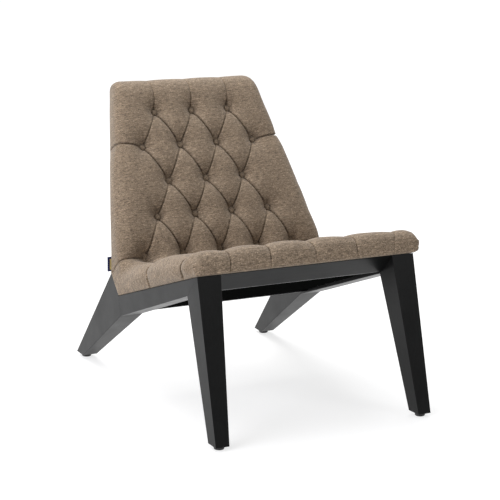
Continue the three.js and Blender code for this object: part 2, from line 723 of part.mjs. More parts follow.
// Back pad: rings up the back. Each ring is an outline in [x, n] at a height s that follows the mitre at the bottom.
// The outline's points are [side, distance outside the rear edge's half width, n].
const outlineAt = (front, rear, bulge) => {
  const at = (k) => front + (rear - front) * k;
  const half = [
    [-75, front],
    [-28, at(0.03)],
    [bulge * 0.2, at(0.15)],
    [bulge, at(0.4)],
    [bulge * 0.8, at(0.68)],
    [0, rear],
  ];
  return [...half.map(([d, n]) => [1, d, n]), ...half.toReversed().map(([d, n]) => [-1, d, n])];
};
const backRings = [
  { f: 0, top: BACK_TOP, front: BACK_FRONT - 4, bulge: 9 },
  { f: 0.1, top: BACK_TOP, front: BACK_FRONT, bulge: 11 },
  { f: 0.35, top: BACK_TOP, front: BACK_FRONT, bulge: 14 },
  { f: 0.62, top: BACK_TOP, front: BACK_FRONT, bulge: 10 },
  { f: 0.88, top: BACK_TOP, front: BACK_FRONT - 1, bulge: 10 },
  { f: 0.95, top: BACK_TOP, front: BACK_FRONT - 5, bulge: 8, in: 2 },
  { f: 0.985, top: BACK_TOP, front: BACK_FRONT - 14, bulge: 4, in: 8, rear: 2 },
  { f: 1, top: BACK_TOP, front: BACK_FRONT - 27, bulge: 0, in: 19, rear: 9 },
];
const backPad = loft(
  backRings.map((r) =>
    outlineAt(r.front, BACK_REAR + (r.rear || 0), r.bulge).map(([side, d, n]) => {
      const s0 = crease(n) + GAP / 2;
      const s = s0 + (r.top - s0) * r.f;
      const hw = hwAt(s) - (r.in || 0);
      return [side * (hw + d), -n, s];
    }),
  ),
);
const backTools = [];
{
  const s0 = crease(PANEL_N0 + BACK_PANEL_T) - 30;
  const x = (s) => hwAt(s) - 11.6;
  const top = FRAME_TOP + 0.4;
  // The pocket of the panel, open to the rear, and of the frame in front of it.
  backTools.push(
    backPoly(
      [
        [-x(s0), s0],
        [x(s0), s0],
        [x(top - 14), top - 14],
        [x(top) - 14, top],
        [-x(top) + 14, top],
        [-x(top - 14), top - 14],
      ],
      -80,
      PANEL_N0 + BACK_PANEL_T + 0.35,
    ),
  );
  for (const side of [-1, 1]) {
    const a = crease(STILE_N0 + STILE_T) - 12;
    backTools.push(
      backPoly(
        [
          [side * (stileOut(a) + 0.4), a],
          [side * (stileOut(top - 14) + 0.4), top - 14],
          [side * (stileOut(top) - 13.6), top],
          [side * (stileOut(top) - STILE_W - 0.4), top],
          [side * (stileOut(a) - STILE_W - 0.4), a],
        ],
        STILE_N0 - 2,
        STILE_N0 + STILE_T + 0.35,
      ),
      bracket(side, 0.4).applyMatrix4(seatToBack),
    );
  }
  backTools.push(
    backPoly(
      [
        [-(stileOut(TOP_RAIL_S) - STILE_W + 1), TOP_RAIL_S - 0.4],
        [stileOut(TOP_RAIL_S) - STILE_W + 1, TOP_RAIL_S - 0.4],
        [stileOut(top) - STILE_W + 1, top],
        [-(stileOut(top) - STILE_W + 1), top],
      ],
      STILE_N0 - 2,
      STILE_N0 + STILE_T + 0.35,
    ),
  );
}
for (const b of buttonPlaces) if (b.frame === back) backTools.push(...dimple(b));
add(back, "back_pad", cut(backPad, ...backTools), fabric);

// Rear cover: the plain fabric panel over the back of the shell.
{
  const s0 = crease(BACK_REAR) + 1;
  const top = BACK_TOP - 18;
  add(
    back,
    "back_outer_cover",
    backPoly(
      [
        [-hwAt(s0) + 2, s0],
        [hwAt(s0) - 2, s0],
        [hwAt(top - 16) - 2, top - 16],
        [hwAt(top) - 18, top],
        [-hwAt(top) + 18, top],
        [-hwAt(top - 16) + 2, top - 16],
      ],
      BACK_REAR - 1.7,
      BACK_REAR - 0.35,
    ),
    fabric,
  );
}

// ---- Covered buttons: each row hangs on one continuous twine behind its panel ----
const dome = [
  [0, -3],
  [6.5, -3],
  [BUTTON_R, -0.5],
  [7.6, 2.6],
  [4, 4.4],
  [0, 5],
];
BACK_ROWS.forEach((row, i) => {
  const list = [];
  const deep = -58.3;
  for (const c of row.cols) {
    list.push(turned(dome, 8).rotateX(Math.PI / 2).translate(c * COL, 0, row.s));
    list.push(rod([c * COL, 1, row.s], [c * COL, -deep, row.s], 1.2, 1.2, 4));
  }
  const x0 = row.cols[0] * COL;
  const x1 = row.cols[row.cols.length - 1] * COL;
  list.push(rod([x0 - 2, -deep, row.s], [x1 + 2, -deep, row.s], 1.2, 1.2, 4));
  add(back, i === 4 ? "crease_button_row" : "back_button_row_" + (i + 1), join(...list), fabric);
});
SEAT_ROWS.forEach((row, i) => {
  const list = [];
  const deep = -1.7;
  for (const c of row.cols) {
    list.push(turned(dome, 8).translate(c * COL, -row.t, SEAT_BUTTON_H));
    list.push(rod([c * COL, -row.t, SEAT_BUTTON_H - 1], [c * COL, -row.t, deep], 1.2, 1.2, 4));
  }
  const x0 = row.cols[0] * COL;
  const x1 = row.cols[row.cols.length - 1] * COL;
  list.push(rod([x0 - 2, -row.t, deep], [x1 + 2, -row.t, deep], 1.2, 1.2, 4));
  add(seat, "seat_button_row_" + (i + 1), join(...list), fabric);
});

// ---- A plain woven tab, sewn into the rear seam at the left and leaning with it ----
add(
  back,
  "seam_tab",
  backPoly(
    [
      [-hwAt(-17) - 13, -17],
      [-hwAt(-17) - 3.9, -17],
      [-hwAt(18) - 3.9, 18],
      [-hwAt(18) - 13, 18],
    ],
    BACK_REAR - 1.2,
    BACK_REAR + 0.2,
  ),
  tabCloth,
);

export default chair;
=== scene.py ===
import math

import bmesh
import bpy
import numpy as np
from mathutils import Matrix, Vector


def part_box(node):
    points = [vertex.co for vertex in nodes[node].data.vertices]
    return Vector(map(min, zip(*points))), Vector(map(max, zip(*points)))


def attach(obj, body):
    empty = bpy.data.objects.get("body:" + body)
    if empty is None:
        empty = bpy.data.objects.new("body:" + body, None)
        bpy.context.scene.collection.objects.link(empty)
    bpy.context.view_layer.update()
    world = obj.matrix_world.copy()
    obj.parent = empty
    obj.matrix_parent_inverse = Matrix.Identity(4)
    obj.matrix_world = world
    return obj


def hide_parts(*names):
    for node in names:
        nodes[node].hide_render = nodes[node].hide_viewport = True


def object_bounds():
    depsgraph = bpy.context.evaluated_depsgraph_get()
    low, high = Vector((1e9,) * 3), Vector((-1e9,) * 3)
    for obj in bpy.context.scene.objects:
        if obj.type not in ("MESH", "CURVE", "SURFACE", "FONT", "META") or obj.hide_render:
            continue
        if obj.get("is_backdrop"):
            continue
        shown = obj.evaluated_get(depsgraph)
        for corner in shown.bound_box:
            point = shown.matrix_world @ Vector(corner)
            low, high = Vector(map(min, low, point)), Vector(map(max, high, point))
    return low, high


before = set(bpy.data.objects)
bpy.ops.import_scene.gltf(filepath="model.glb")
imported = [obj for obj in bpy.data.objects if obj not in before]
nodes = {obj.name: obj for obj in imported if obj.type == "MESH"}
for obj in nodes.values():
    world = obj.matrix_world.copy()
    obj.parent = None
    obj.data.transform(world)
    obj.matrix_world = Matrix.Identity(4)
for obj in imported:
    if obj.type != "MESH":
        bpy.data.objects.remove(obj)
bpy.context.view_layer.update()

MM = 0.001
scene = bpy.context.scene
rng = np.random.default_rng(7)

# ---------------------------------------------------------------- camera
YAW, PITCH, ROLL = -0.4834, 0.2284, 0.0126
cam_data = bpy.data.cameras.new("camera")
cam_data.sensor_width = 36.0
cam_data.lens = 36.0 * 1609.4 / 500.0
cam_data.clip_start, cam_data.clip_end = 0.05, 200.0
cam = bpy.data.objects.new("camera", cam_data)
scene.collection.objects.link(cam)
_back = Vector((math.sin(YAW) * math.cos(PITCH), -math.cos(YAW) * math.cos(PITCH), math.sin(PITCH)))
_right = Vector((math.cos(YAW), math.sin(YAW), 0.0))
_up = _back.cross(_right)
_r2 = math.cos(ROLL) * _right + math.sin(ROLL) * _up
_u2 = -math.sin(ROLL) * _right + math.cos(ROLL) * _up
_m = Matrix((_r2, _u2, _back)).transposed().to_4x4()
_m.translation = Vector((-1.7919, -3.4385, 1.2474))
cam.matrix_world = _m
scene.camera = cam

# ---------------------------------------------------------------- side view of the shell, in mm
J = np.array([129.5, 229.4])
C = np.array([-317.0, 378.4])
TILT = math.atan2(C[1] - J[1], J[0] - C[0])
RECLINE = math.radians(29.1)
BASE = np.array([134.4, 325.4])
CT, ST, CB, SB = math.cos(TILT), math.sin(TILT), math.cos(RECLINE), math.sin(RECLINE)
COL = 104.4
ROW_T = (97.0, 180.0, 285.0, 390.0)
FILLET = 99.8


def seat(t, h):
    """(y, z) of a point t forwards from the rear end of the rail's top edge and h over it."""
    return np.stack([J[0] - np.asarray(t) * CT + np.asarray(h) * ST, J[1] + np.asarray(t) * ST + np.asarray(h) * CT], -1)


def backrest(s, n):
    """(y, z) of a point s up the back from the crease buttons and n in front of them."""
    return np.stack([BASE[0] + np.asarray(s) * SB - np.asarray(n) * CB, BASE[1] + np.asarray(s) * CB + np.asarray(n) * SB], -1)


def curve(x, xs, ys):
    """Monotone cubic through (xs, ys)."""
    xs, ys = np.asarray(xs, float), np.asarray(ys, float)
    h = np.diff(xs)
    d = np.diff(ys) / h
    m = np.zeros(len(xs))
    m[0], m[-1] = d[0], d[-1]
    for i in range(1, len(xs) - 1):
        if d[i - 1] * d[i] > 0:
            w1, w2 = 2 * h[i] + h[i - 1], h[i] + 2 * h[i - 1]
            m[i] = (w1 + w2) / (w1 / d[i - 1] + w2 / d[i])
    x = np.clip(x, xs[0], xs[-1])
    k = np.clip(np.searchsorted(xs, x) - 1, 0, len(xs) - 2)
    u = (x - xs[k]) / h[k]
    return (
        ys[k] * (1 + 2 * u) * (1 - u) ** 2
        + m[k] * h[k] * u * (1 - u) ** 2
        + ys[k + 1] * u * u * (3 - 2 * u)
        + m[k + 1] * h[k] * u * u * (u - 1)
    )


def smooth_step(x, a, b):
    u = np.clip((x - a) / (b - a), 0, 1)
    return u * u * (3 - 2 * u)


def dense(points, step=0.5):
    points = np.asarray(points, float)
    d = np.r_[0, np.cumsum(np.hypot(*np.diff(points, axis=0).T))]
    n = max(2, int(round(d[-1] / step)) + 1)
    t = np.linspace(0, d[-1], n)
    return np.stack([np.interp(t, d, points[:, 0]), np.interp(t, d, points[:, 1])], -1), t


def blur_line(points, sigma, step=0.5):
    k = np.arange(-int(4 * sigma / step), int(4 * sigma / step) + 1) * step
    w = np.exp(-0.5 * (k / sigma) ** 2)
    w /= w.sum()
    half = len(k) // 2
    out = []
    for c in points.T:
        # point reflection keeps the ends where they are
        ext = np.r_[2 * c[0] - c[half:0:-1], c, 2 * c[-1] - c[-2 : -half - 2 : -1]]
        out.append(np.convolve(ext, w, "valid"))
    return np.stack(out, -1)


# The pads' crown in side view, from the front's lower edge over the seat, round the crease and up the back.
front_crown = [(471.8, 0.9), (478.4, 2.0), (481.2, 5.6), (482.5, 12), (483.1, 21), (482.8, 31), (480.0, 42.5), (471.5, 54), (458, 61.3), (440, 63.7), (420, 63.4)]
front_pts, _ = dense(seat([p[0] for p in front_crown], [p[1] for p in front_crown]))
front_pts = blur_line(front_pts, 3.0)
front_len = np.r_[0, np.cumsum(np.hypot(*np.diff(front_pts, axis=0).T))]
T_CREST = 420.0
L_CREST = -FILLET - (T_CREST - 97.0)
L0 = L_CREST - front_len[-1]
top_crown = [(400, 24.5), (426, 23), (445, 18), (457.4, 9), (465.4, -3), (468.9, -18), (469.2, -36), (467.2, -50), (462.6, -60.3)]
top_pts, _ = dense(backrest([p[0] for p in top_crown], [p[1] for p in top_crown]))
top_pts = blur_line(top_pts, 4.0)
top_len = np.r_[0, np.cumsum(np.hypot(*np.diff(top_pts, axis=0).T))]
L_TOP = 400.0
L1 = L_TOP + top_len[-1]
O = np.array([96.5, 106.0])
SEAT_T = [97, 130, 250, 330, 380, T_CREST]
SEAT_CROWN = [58.0, 58.2, 59.8, 61.6, 63.0, 63.4]


def crown(L):
    """(y, z) of the crown at the coordinate L."""
    L = np.asarray(L, float)
    out = np.zeros(L.shape + (2,))
    m = L < L_CREST
    for k in (0, 1):
        out[..., k] = np.where(m, np.interp(L - L0, front_len, front_pts[:, k]), out[..., k])
    m = (L >= L_CREST) & (L < -FILLET)
    t = 97.0 - FILLET - L
    out[m] = seat(t, curve(t, SEAT_T, SEAT_CROWN))[m]
    m = (L >= -FILLET) & (L < 0)
    a = (L + FILLET) / FILLET * (math.pi / 2 - (RECLINE - TILT))
    r = 48 - 0.5 * (L + FILLET) / FILLET
    out[m] = seat(O[0] - r * np.sin(a), O[1] - r * np.cos(a))[m]
    m = (L >= 0) & (L < L_TOP)
    out[m] = backrest(L, np.full_like(L, 24.5))[m]
    m = L >= L_TOP
    for k in (0, 1):
        out[..., k] = np.where(m, np.interp(L - L_TOP, top_len, top_pts[:, k]), out[..., k])
    return out


def rim(L):
    """(y, z) of the cover's lower or rear edge, where the side wall starts, and its half width."""
    L = np.asarray(L, float)
    t = np.where(L < -FILLET, 97 - FILLET - L, 0)
    t = np.where(t > 400, 400 + (470.4 - 400) * ((t - 400) / ((97 - FILLET - L0) - 400)) ** 0.62, t)
    a = seat(t, np.full_like(L, 0.9))
    path, plen = dense(np.array([seat(97, 0.9), seat(0.2, 0.9), seat(-28.6, 60.0)]), 0.5)
    lj = -40.7
    frac = np.where(L < lj, (L + FILLET) / (lj + FILLET) * 97.0, 97.0 + (L - lj) / -lj * (plen[-1] - 97.0))
    b = np.stack([np.interp(frac, plen, path[:, k]) for k in (0, 1)], -1)
    s = curve(L, [0, 60, 120, 186, 240, 281.9, 340, 400, L1], [-21.5, 45, 112, 184, 244, 290, 345, 402, 462.0])
    c = backrest(s, np.full_like(L, -60.0))
    out = np.where((L < -FILLET)[..., None], a, np.where((L < 0)[..., None], b, c))
    hw = np.where(L < 0, 285.3, 279 - 0.196 * s + 2.1 * np.exp(-np.maximum(L, 0) / 35))
    hw = hw - curve(L, [L_TOP, L_TOP + 55, L1 - 36, L1 - 14, L1], [0, 0.8, 2.0, 4.5, 8])
    hw = hw - curve(-L, [-L_CREST, -L_CREST + 45, -L0 - 8, -L0], [0, 0, 0, 1.5])
    return out, hw


LS = [L0, L0 + 9, L0 + 28, L_CREST, -250, -150, -90, -60, -30, 0, 30, 60, 150, 255, 292, 336, 397, 446, L1 - 25, L1]
BULGE = [18.7, 18.7, 18.7, 18.7, 14.5, 11.6, 7.5, 4.5, 2.6, 3.0, 7.4, 10.3, 13.2, 13.6, 12.2, 11.2, 10.0, 7.8, 4.0, 1.5]
SOFT = [50, 50, 52, 54, 50, 48, 48, 50, 52, 52, 52, 52, 52, 50, 46, 42, 34, 22, 17, 16]
WIDEST = 28.5  # height of the seat's widest line over the rim


def section(L):
    """The cover's right half across at L, from the middle to the rim, as dense (x, w), and the half width where the crown ends. w is 0 at the rim and 1 on the crown."""
    _, hw = rim(np.array([L]))
    hw = float(hw[0])
    bulge = float(curve(np.array([L]), LS, BULGE)[0])
    soft = float(curve(np.array([L]), LS, SOFT)[0])
    wb = float(curve(np.array([L]), [L0, L_CREST, -120, 0, 60, L1 - 60, L1], [0.45, 0.45, 0.42, 0.62, 0.70, 0.70, 0.5])[0])
    rise = 1.0
    if L < L_CREST:
        # the front's rows follow the side's profile at their own height
        tall = max(0.5, float((crown(np.array([L]))[0] - J) @ np.array([ST, CT])))
        wb = min(0.93, WIDEST / tall)
        rise = min(1.0, wb * tall / WIDEST)
    reach = bulge * (1 - (1 - rise) ** 2.4)
    xb = hw + reach
    xt = xb - soft
    a = np.linspace(0, math.pi / 2, 60)
    power = float(curve(np.array([L]), [L0, -200, -60, L1], [1.0, 0.96, 0.92, 0.92])[0])
    upper = np.stack([xt + soft * np.sin(a) ** power, wb + (1 - wb) * np.cos(a) ** power], -1)
    b = np.linspace(0, 1, 40)[1:]
    # from the widest point down to the rim, tucked in at the end
    lower = np.stack([hw + bulge * (1 - (1 - rise * (1 - b)) ** 2.4), wb * (1 - b)], -1)
    flat = np.stack([np.linspace(0, xt, 120)[:-1], np.ones(119)], -1)
    return np.vstack([flat, upper, lower]), xt


# ---------------------------------------------------------------- buttons and pleats, as (x across, L along)
ROWS = [
    (373.1, (-1, 0, 1)),
    (281.9, (-1.5, -0.5, 0.5, 1.5)),
    (186.7, (-1, 0, 1)),
    (94.6, (-1.5, -0.5, 0.5, 1.5)),
    (0.0, (-2, -1, 0, 1, 2)),
    (-FILLET, (-1.5, -0.5, 0.5, 1.5)),
    (97.0 - FILLET - ROW_T[1], (-2, -1, 0, 1, 2)),
    (97.0 - FILLET - ROW_T[2], (-1.5, -0.5, 0.5, 1.5)),
    (97.0 - FILLET - ROW_T[3], (-2, -1, 0, 1, 2)),
]
BUTTONS = [(c * COL, L) for L, cols in ROWS for c in cols]
PLEATS = []  # each is a path of (x, L) points, its soft depth and groove at the start, middle and end, and a kind


def pleat(points, soft, groove, kind, sag=(0.0, 0.0)):
    points = np.asarray(points, float)
    if len(points) == 2:
        u = np.linspace(0, 1, 15)[:, None]
        path = points[0] + (points[1] - points[0]) * u
        path += np.array([sag]) * 4 * u * (1 - u)
    elif kind in ("side", "upper", "crease"):
        x = np.linspace(points[0, 0], points[-1, 0], 25)
        k = np.sign(points[-1, 0] - points[0, 0])
        path = np.stack([x, curve(k * x, k * points[:, 0], points[:, 1])], -1)
    else:
        l = np.linspace(points[0, 1], points[-1, 1], 25)
        k = np.sign(points[-1, 1] - points[0, 1])
        path = np.stack([curve(k * l, k * points[:, 1], points[:, 0]), l], -1)
    PLEATS.append((path, soft, groove, kind))


for (la, ca), (lb, cb) in zip(ROWS, ROWS[1:]):
    for c in ca:
        for d in cb:
            if abs(c - d) == 0.5:
                # the folds that lead down to the left are the fainter ones
                depth, cut = ((6.6, 5.0, 6.8), (1.1, 1.0, 1.1)) if d > c else ((5.0, 4.4, 6.8), (0.25, 0.5, 0.85))
                pleat([(c * COL, la), (d * COL, lb)], depth, cut, "diamond", (-2.6, -1.8))
for c in (-1, 0, 1):
    pleat([(c * COL, 373.1), (c * COL + 1.0, 425), (c * COL - 2.0, L1 - 50)], (6.4, 2.8, 2.2), (0.6, 0.36, 0.0), "top")
for c, crest, roll, face, low, deep, cut in (
    (-2, 4, 8.5, 7.5, 1, 6.0, (0.9, 0.8, 0.7)),
    (-1, 4, 8, 6, 0, 6.4, (0.8, 0.8, 0.7)),
    (0, 7, 17, 18.5, 18, 7.5, (0.5, 0.5, 0.4)),
    (1, 3, 27, 24.5, 23, 6.5, (0.15, 0.5, 0.6)),
    (2, 31, 25.5, 17, 16, 5.0, (0.5, 0.45, 0.3)),
):
    x = c * COL
    points = [(x, ROWS[8][0]), (x + crest, -435.0), (x + roll, -473.0), (x + face, -501.0), (x + low, L0 + 2)]
    pleat(points, (9.5, deep, 1.0), cut, "front")
for side in (-1, 1):
    lift = 1.0 if side < 0 else 0.6
    pleat([(side * 1.5 * COL, 281.9), (side * 232, 281.9 + 10.5 * lift), (side * 330, 281.9 + 9.0 * lift)], (7.0, 4.4, 2.4), (1, 1, 0.8), "upper")
    pleat([(side * 2 * COL, 0.0), (side * 400, 0.0)], (22.0, 4.5 if side < 0 else 3.0, 1.0), (0.35, 0.6, 0.6), "crease")
    for row, shoulder, wall, low in ((6, 16.0, 29.0, 19.0), (8, 18.0, 25.0, 8.0)):
        l = ROWS[row][0]
        pleat([(side * 2 * COL, l), (side * 280, l - shoulder), (side * 322, l - wall), (side * 356, l - low)], (9.0, 9.0, 5.0), (2.0, 2.2, 1.6), "side")

FOLD = 8.0  # depth of the sharp folds

# ---------------------------------------------------------------- the cover's grid
NI, NJ = 641, 281  # rows along, points across (odd, so that one runs down the middle)


def spread(n, lo, hi, peaks, sigma, gain):
    """n positions from lo to hi, closer together near the peaks."""
    x = np.linspace(lo, hi, 6001)
    w = np.ones_like(x)
    for p, g, *own in peaks:
        w += gain * g * np.exp(-(((x - p) / (own[0] if own else sigma)) ** 2))
    c = np.r_[0, np.cumsum((w[1:] + w[:-1]) / 2 * np.diff(x))]
    return np.interp(np.linspace(0, c[-1], n), c, x)


rows_L = spread(NI, L0, L1, [(281.9, 1.0), (289.0, 0.8, 8.0), (0.0, 1.0), (-186.0, 0.6, 8.0), (-205.0, 0.9, 17.0), (-411.0, 0.9, 14.0)], 6.0, 1.3)
for l in (281.9, 0.0):
    rows_L[np.argmin(abs(rows_L - l))] = l
SEAM = int(np.argmin(abs(rows_L)))

E = crown(rows_L)
R, _hw = rim(rows_L)


def crossings(L):
    """Where pleats that run along cross the row L, as (x, weight)."""
    out = []
    for path, soft, groove, kind in PLEATS:
        if kind in ("side", "upper", "crease"):
            continue
        l = path[:, 1]
        a, b = l.min(), l.max()
        if a - 6 <= L <= b + 6:
            order = np.argsort(l)
            x = float(np.interp(L, l[order], path[order, 0]))
            out.append((x, min(1.0, max(0.0, (min(L - a, b - L) + 6) / 8))))
    return out


V = np.zeros((NI, NJ))  # developed distance from the middle
X = np.zeros((NI, NJ))
W = np.zeros((NI, NJ))
WALL = np.zeros(NI)
snapped = np.zeros((NI, NJ), bool)
for i, L in enumerate(rows_L):
    sec, xt = section(L)
    wall = float(np.hypot(*(E[i] - R[i])))
    WALL[i] = wall
    d = np.r_[0, np.cumsum(np.hypot(np.diff(sec[:, 0]), np.diff(sec[:, 1]) * wall))]
    peaks = crossings(L)
    v = spread(NJ, -d[-1], d[-1], peaks, 4.2, 1.9)
    # the nearest point of a row goes onto each pleat
    for c, g in peaks:
        if g < 0.7:
            continue
        j = int(np.argmin(abs(v - c)))
        if 0 < j < NJ - 1 and not snapped[i, j]:
            v[j] = c
            snapped[i, j] = True
    V[i] = v
    X[i] = np.sign(v) * np.interp(abs(v), d, sec[:, 0])
    W[i] = np.interp(abs(v), d, sec[:, 1])
P = np.zeros((NI, NJ, 3))
P[..., 0] = X
P[..., 1:] = R[:, None] + (E - R)[:, None] * W[..., None]
LL = np.repeat(rows_L[:, None], NJ, 1)

SEAT_UP = seat(0, 1) - seat(0, 0)
BACK_UP = backrest(1, 0) - backrest(0, 0)
BACK_OUT = backrest(0, 1) - backrest(0, 0)
side_v = smooth_step(abs(V), 110, 225)
# the seat is fuller along its sides at the rear, and lower at the front corners
_t = 97.0 - FILLET - LL
full = curve(_t, [-3, 40, 97, 150, 200, 285, 340, 385, 445, 480, 540], [0, 1.5, 5.5, 6.2, 6.2, 5.4, 1.5, -2.8, -3.2, -1.6, 0]) * side_v
full = np.where(V > 0, np.maximum(full, 0.35 * full), full) * smooth_step(W, 0.0, 0.7)
P[..., 1:] += full[..., None] * SEAT_UP
# the crease lies a little under the line of its buttons
low = -7.0 * (1 - smooth_step(abs(V), 235, 335)) * np.exp(-((LL / 36.0) ** 2))
P[..., 1:] += low[..., None] * BACK_UP

# the back's right side runs on straight to the seat
P[..., 0] += smooth_step(V, 190, 300) * (4.8 * np.exp(-(((LL - 2) / 32) ** 2)) - 1.6 * np.exp(-(((LL - 75) / 40) ** 2))) * smooth_step(W, 0.0, 0.6)

# the top's right corner hangs a little
droop = -7.0 * smooth_step(V, 168, 207) * smooth_step(LL, 405, 465) * smooth_step(W, 0.0, 0.7)
P[..., 1:] += droop[..., None] * BACK_UP

# plan of the front corners: an ellipse cut off by the front face, above the rim
_yz = P[..., 1:] - J
_tt = -_yz[..., 0] * CT + _yz[..., 1] * ST
_hh = _yz[..., 0] * ST + _yz[..., 1] * CT
_a, _b = abs(P[..., 0]) - 236.0, _tt - 414.0
_in = (_a > 0) & (_b > 0) & (LL < -FILLET)
_a1, _b1 = np.where(_in, _a, 1.0), np.where(_in, _b, 1.0)
_r = np.hypot(_a1, _b1)
_c, _s = _a1 / _r, _b1 / _r
_long = np.where(P[..., 0] < 0, 90.0, 118.0)
_box = ((_c / 68.0) ** 14 + (_s / 68.9) ** 14) ** (-1 / 14)
_new = ((np.hypot(_c / 68.0, _s / _long)) ** 40 + (_s / 68.9) ** 40) ** (-1 / 40)
_k = smooth_step(_hh, 0.5, 17.0)
_scale = np.where(_in, 1 + _k * (np.minimum(1.0, _new / _box) - 1), 1.0)
P[..., 0] += np.where(_in, np.sign(P[..., 0]) * _a1 * (_scale - 1), 0)
P[..., 0] += 7.0 * smooth_step(V, 130, 275) * smooth_step(_tt, 270, 430) * (0.5 * smooth_step(_hh, 0.0, 5.0) + 0.5 * smooth_step(_hh, 8.0, 25.0)) * (LL < -FILLET)
P[..., 0] += 4.5 * smooth_step(V, 150, 235) * smooth_step(_tt, 395, 440) * np.exp(-(((_hh - 50) / 13) ** 2)) * (LL < -FILLET)
_push = np.where(_in, _b1 * (_scale - 1), 0)
P[..., 1] -= _push * CT
P[..., 2] += _push * ST

# small gathers where the cover turns the front corners
gather = 0.55 * np.cos(2 * np.pi * (LL + 0.16 * abs(V)) / 8.5) * np.exp(-(((LL + 462) / 22) ** 2) - ((abs(V) - 308) / 26) ** 2)

# and the nearest row goes onto each pleat that runs across
slope = np.gradient(P, axis=0) / np.gradient(LL, axis=0)[..., None]
level = np.zeros((NI, NJ), bool)
for path, soft, groove, kind in PLEATS:
    if kind not in ("side", "upper", "crease"):
        continue
    order = np.argsort(path[:, 0])
    for j in range(NJ):
        target = np.interp(V[:, j], path[order, 0], path[order, 1])
        i = int(np.argmin(abs(LL[:, j] - target)))
        if path[order[0], 0] <= V[i, j] <= path[order[-1], 0] and 0 < i < NI - 1:
            shift = float(target[i] - LL[i, j])
            P[i, j] += slope[i, j] * shift
            LL[i, j] += shift
            level[i, j] = True


def grid_normals(P):
    """Smooth outward normals of a grid whose rows run along and columns across."""
    di = np.gradient(P, axis=0)
    dj = np.gradient(P, axis=1)
    n = np.cross(dj, di)
    n /= np.maximum(np.linalg.norm(n, axis=2, keepdims=True), 1e-9)
    return n


def blur_grid(F, times, pin=None):
    """Repeated smoothing along both directions of a grid; pin keeps its share of each point."""
    G = F.copy()
    for _ in range(times):
        H = G.copy()
        H[1:-1] = (G[:-2] + 2 * G[1:-1] + G[2:]) / 4
        K = H.copy()
        K[:, 1:-1] = (H[:, :-2] + 2 * H[:, 1:-1] + H[:, 2:]) / 4
        G = K if pin is None else K * (1 - pin) + G * pin
    return G


N0 = blur_grid(grid_normals(P), 8)
N0 /= np.maximum(np.linalg.norm(N0, axis=2, keepdims=True), 1e-9)


def to_path(v, L, path):
    """(distance, side, place along from 0 to 1) of points from a path in the developed plane. side is 1 where L is larger than on the path."""
    best = np.full(v.shape, 1e9)
    side = np.ones(v.shape)
    place = np.zeros(v.shape)
    seg = np.diff(path, axis=0)
    length = np.hypot(*seg.T)
    start = np.r_[0, np.cumsum(length)]
    for k in range(len(seg)):
        a, d = path[k], seg[k]
        u = np.clip(((v - a[0]) * d[0] + (L - a[1]) * d[1]) / (d @ d), 0, 1)
        r = np.hypot(v - a[0] - u * d[0], L - a[1] - u * d[1])
        m = r < best
        best = np.where(m, r, best)
        over = (d[0] * (L - a[1]) - d[1] * (v - a[0])) * (1 if d[0] >= 0 else -1)
        side = np.where(m, np.where(over >= 0, 1.0, -1.0), side)
        place = np.where(m, (start[k] + u * length[k]) / start[-1], place)
    return best, side, place


def along(u, three):
    a, b, c = three
    return np.where(u < 0.5, a + (b - a) * smooth_step(u, 0, 0.5), b + (c - b) * smooth_step(u, 0.5, 1))


def button_depth(L):
    """How far the cover lies under the crown at a button."""
    t = 97.0 - FILLET - L
    return np.where(L >= -FILLET, 25.6 + 9.5 * (abs(L) < 1), curve(t, SEAT_T, SEAT_CROWN) - 32.4)


def tufting(V, LL):
    """Soft depth of the buttoned surface under the crown, depth of the sharp fold along each pleat, height of the lip over it, and the distance from the nearest button."""
    soft = np.zeros_like(V)
    fold = np.zeros_like(V)
    lip = np.zeros_like(V)
    for path, depth, cut, kind in PLEATS:
        lo, hi = path.min(0) - 60, path.max(0) + 60
        m = (V > lo[0]) & (V < hi[0]) & (LL > lo[1]) & (LL < hi[1])
        if not m.any():
            continue
        d, side, u = to_path(V[m], LL[m], path)
        wide, gauss = {"diamond": (12.0, 19.0), "crease": (13.0, 22.0), "side": (17.0, 26.0), "upper": (14.0, 24.0)}.get(kind, (14.0, 24.0))
        s = along(u, depth) * (0.72 * np.exp(-d / wide) + 0.28 * np.exp(-((d / gauss) ** 2)))
        if kind == "top":
            s = s * (1 - 0.25 * smooth_step(u, 0.85, 1.0))
        soft[m] = np.maximum(soft[m], s)
        c = along(u, cut)
        width = np.where(side > 0, 1.2, 1.7) * (0.95 if kind == "side" else 0.85 if kind == "front" else 1.0)
        fold[m] = np.maximum(fold[m], c * np.exp(-((d / width) ** 1.6)))
        if kind in ("diamond", "side", "upper"):
            lip[m] = np.maximum(lip[m], np.where(side > 0, c * np.exp(-(((d - 3.6) / 2.6) ** 2)), 0))
    r = np.full_like(V, 1e3)
    at = np.zeros_like(V)
    for x, l in BUTTONS:
        m = (abs(V - x) < 120) & (abs(LL - l) < 120)
        q = np.hypot(V[m] - x, LL[m] - l)
        at[m] = np.where(q < r[m], l, at[m])
        r[m] = np.minimum(r[m], q)
    deep = button_depth(at)
    b = np.where(r < 7.5, 1.0, np.exp(-(np.maximum(r - 7.5, 0) / 14.5)))
    soft = np.where(r < 9.0, deep, (deep - 1.0) * b + (1 - b) * soft)
    # a pocket over each button, where its two upper folds meet
    for x, l in BUTTONS:
        m = (abs(V - x) < 40) & (abs(LL - l - 12) < 50) & (LL > l + 6)
        pocket = 5.0 * np.exp(-(((V[m] - x) / 6.5) ** 2) - ((LL[m] - l - 12.0) / 8.0) ** 2) * smooth_step(LL[m] - l, 6.0, 11.0)
        soft[m] += pocket
    near = smooth_step(r, 7.5, 10.5)
    return soft, fold * near, lip * smooth_step(r, 14, 30), r


soft, fold, lip, near = tufting(V, LL)
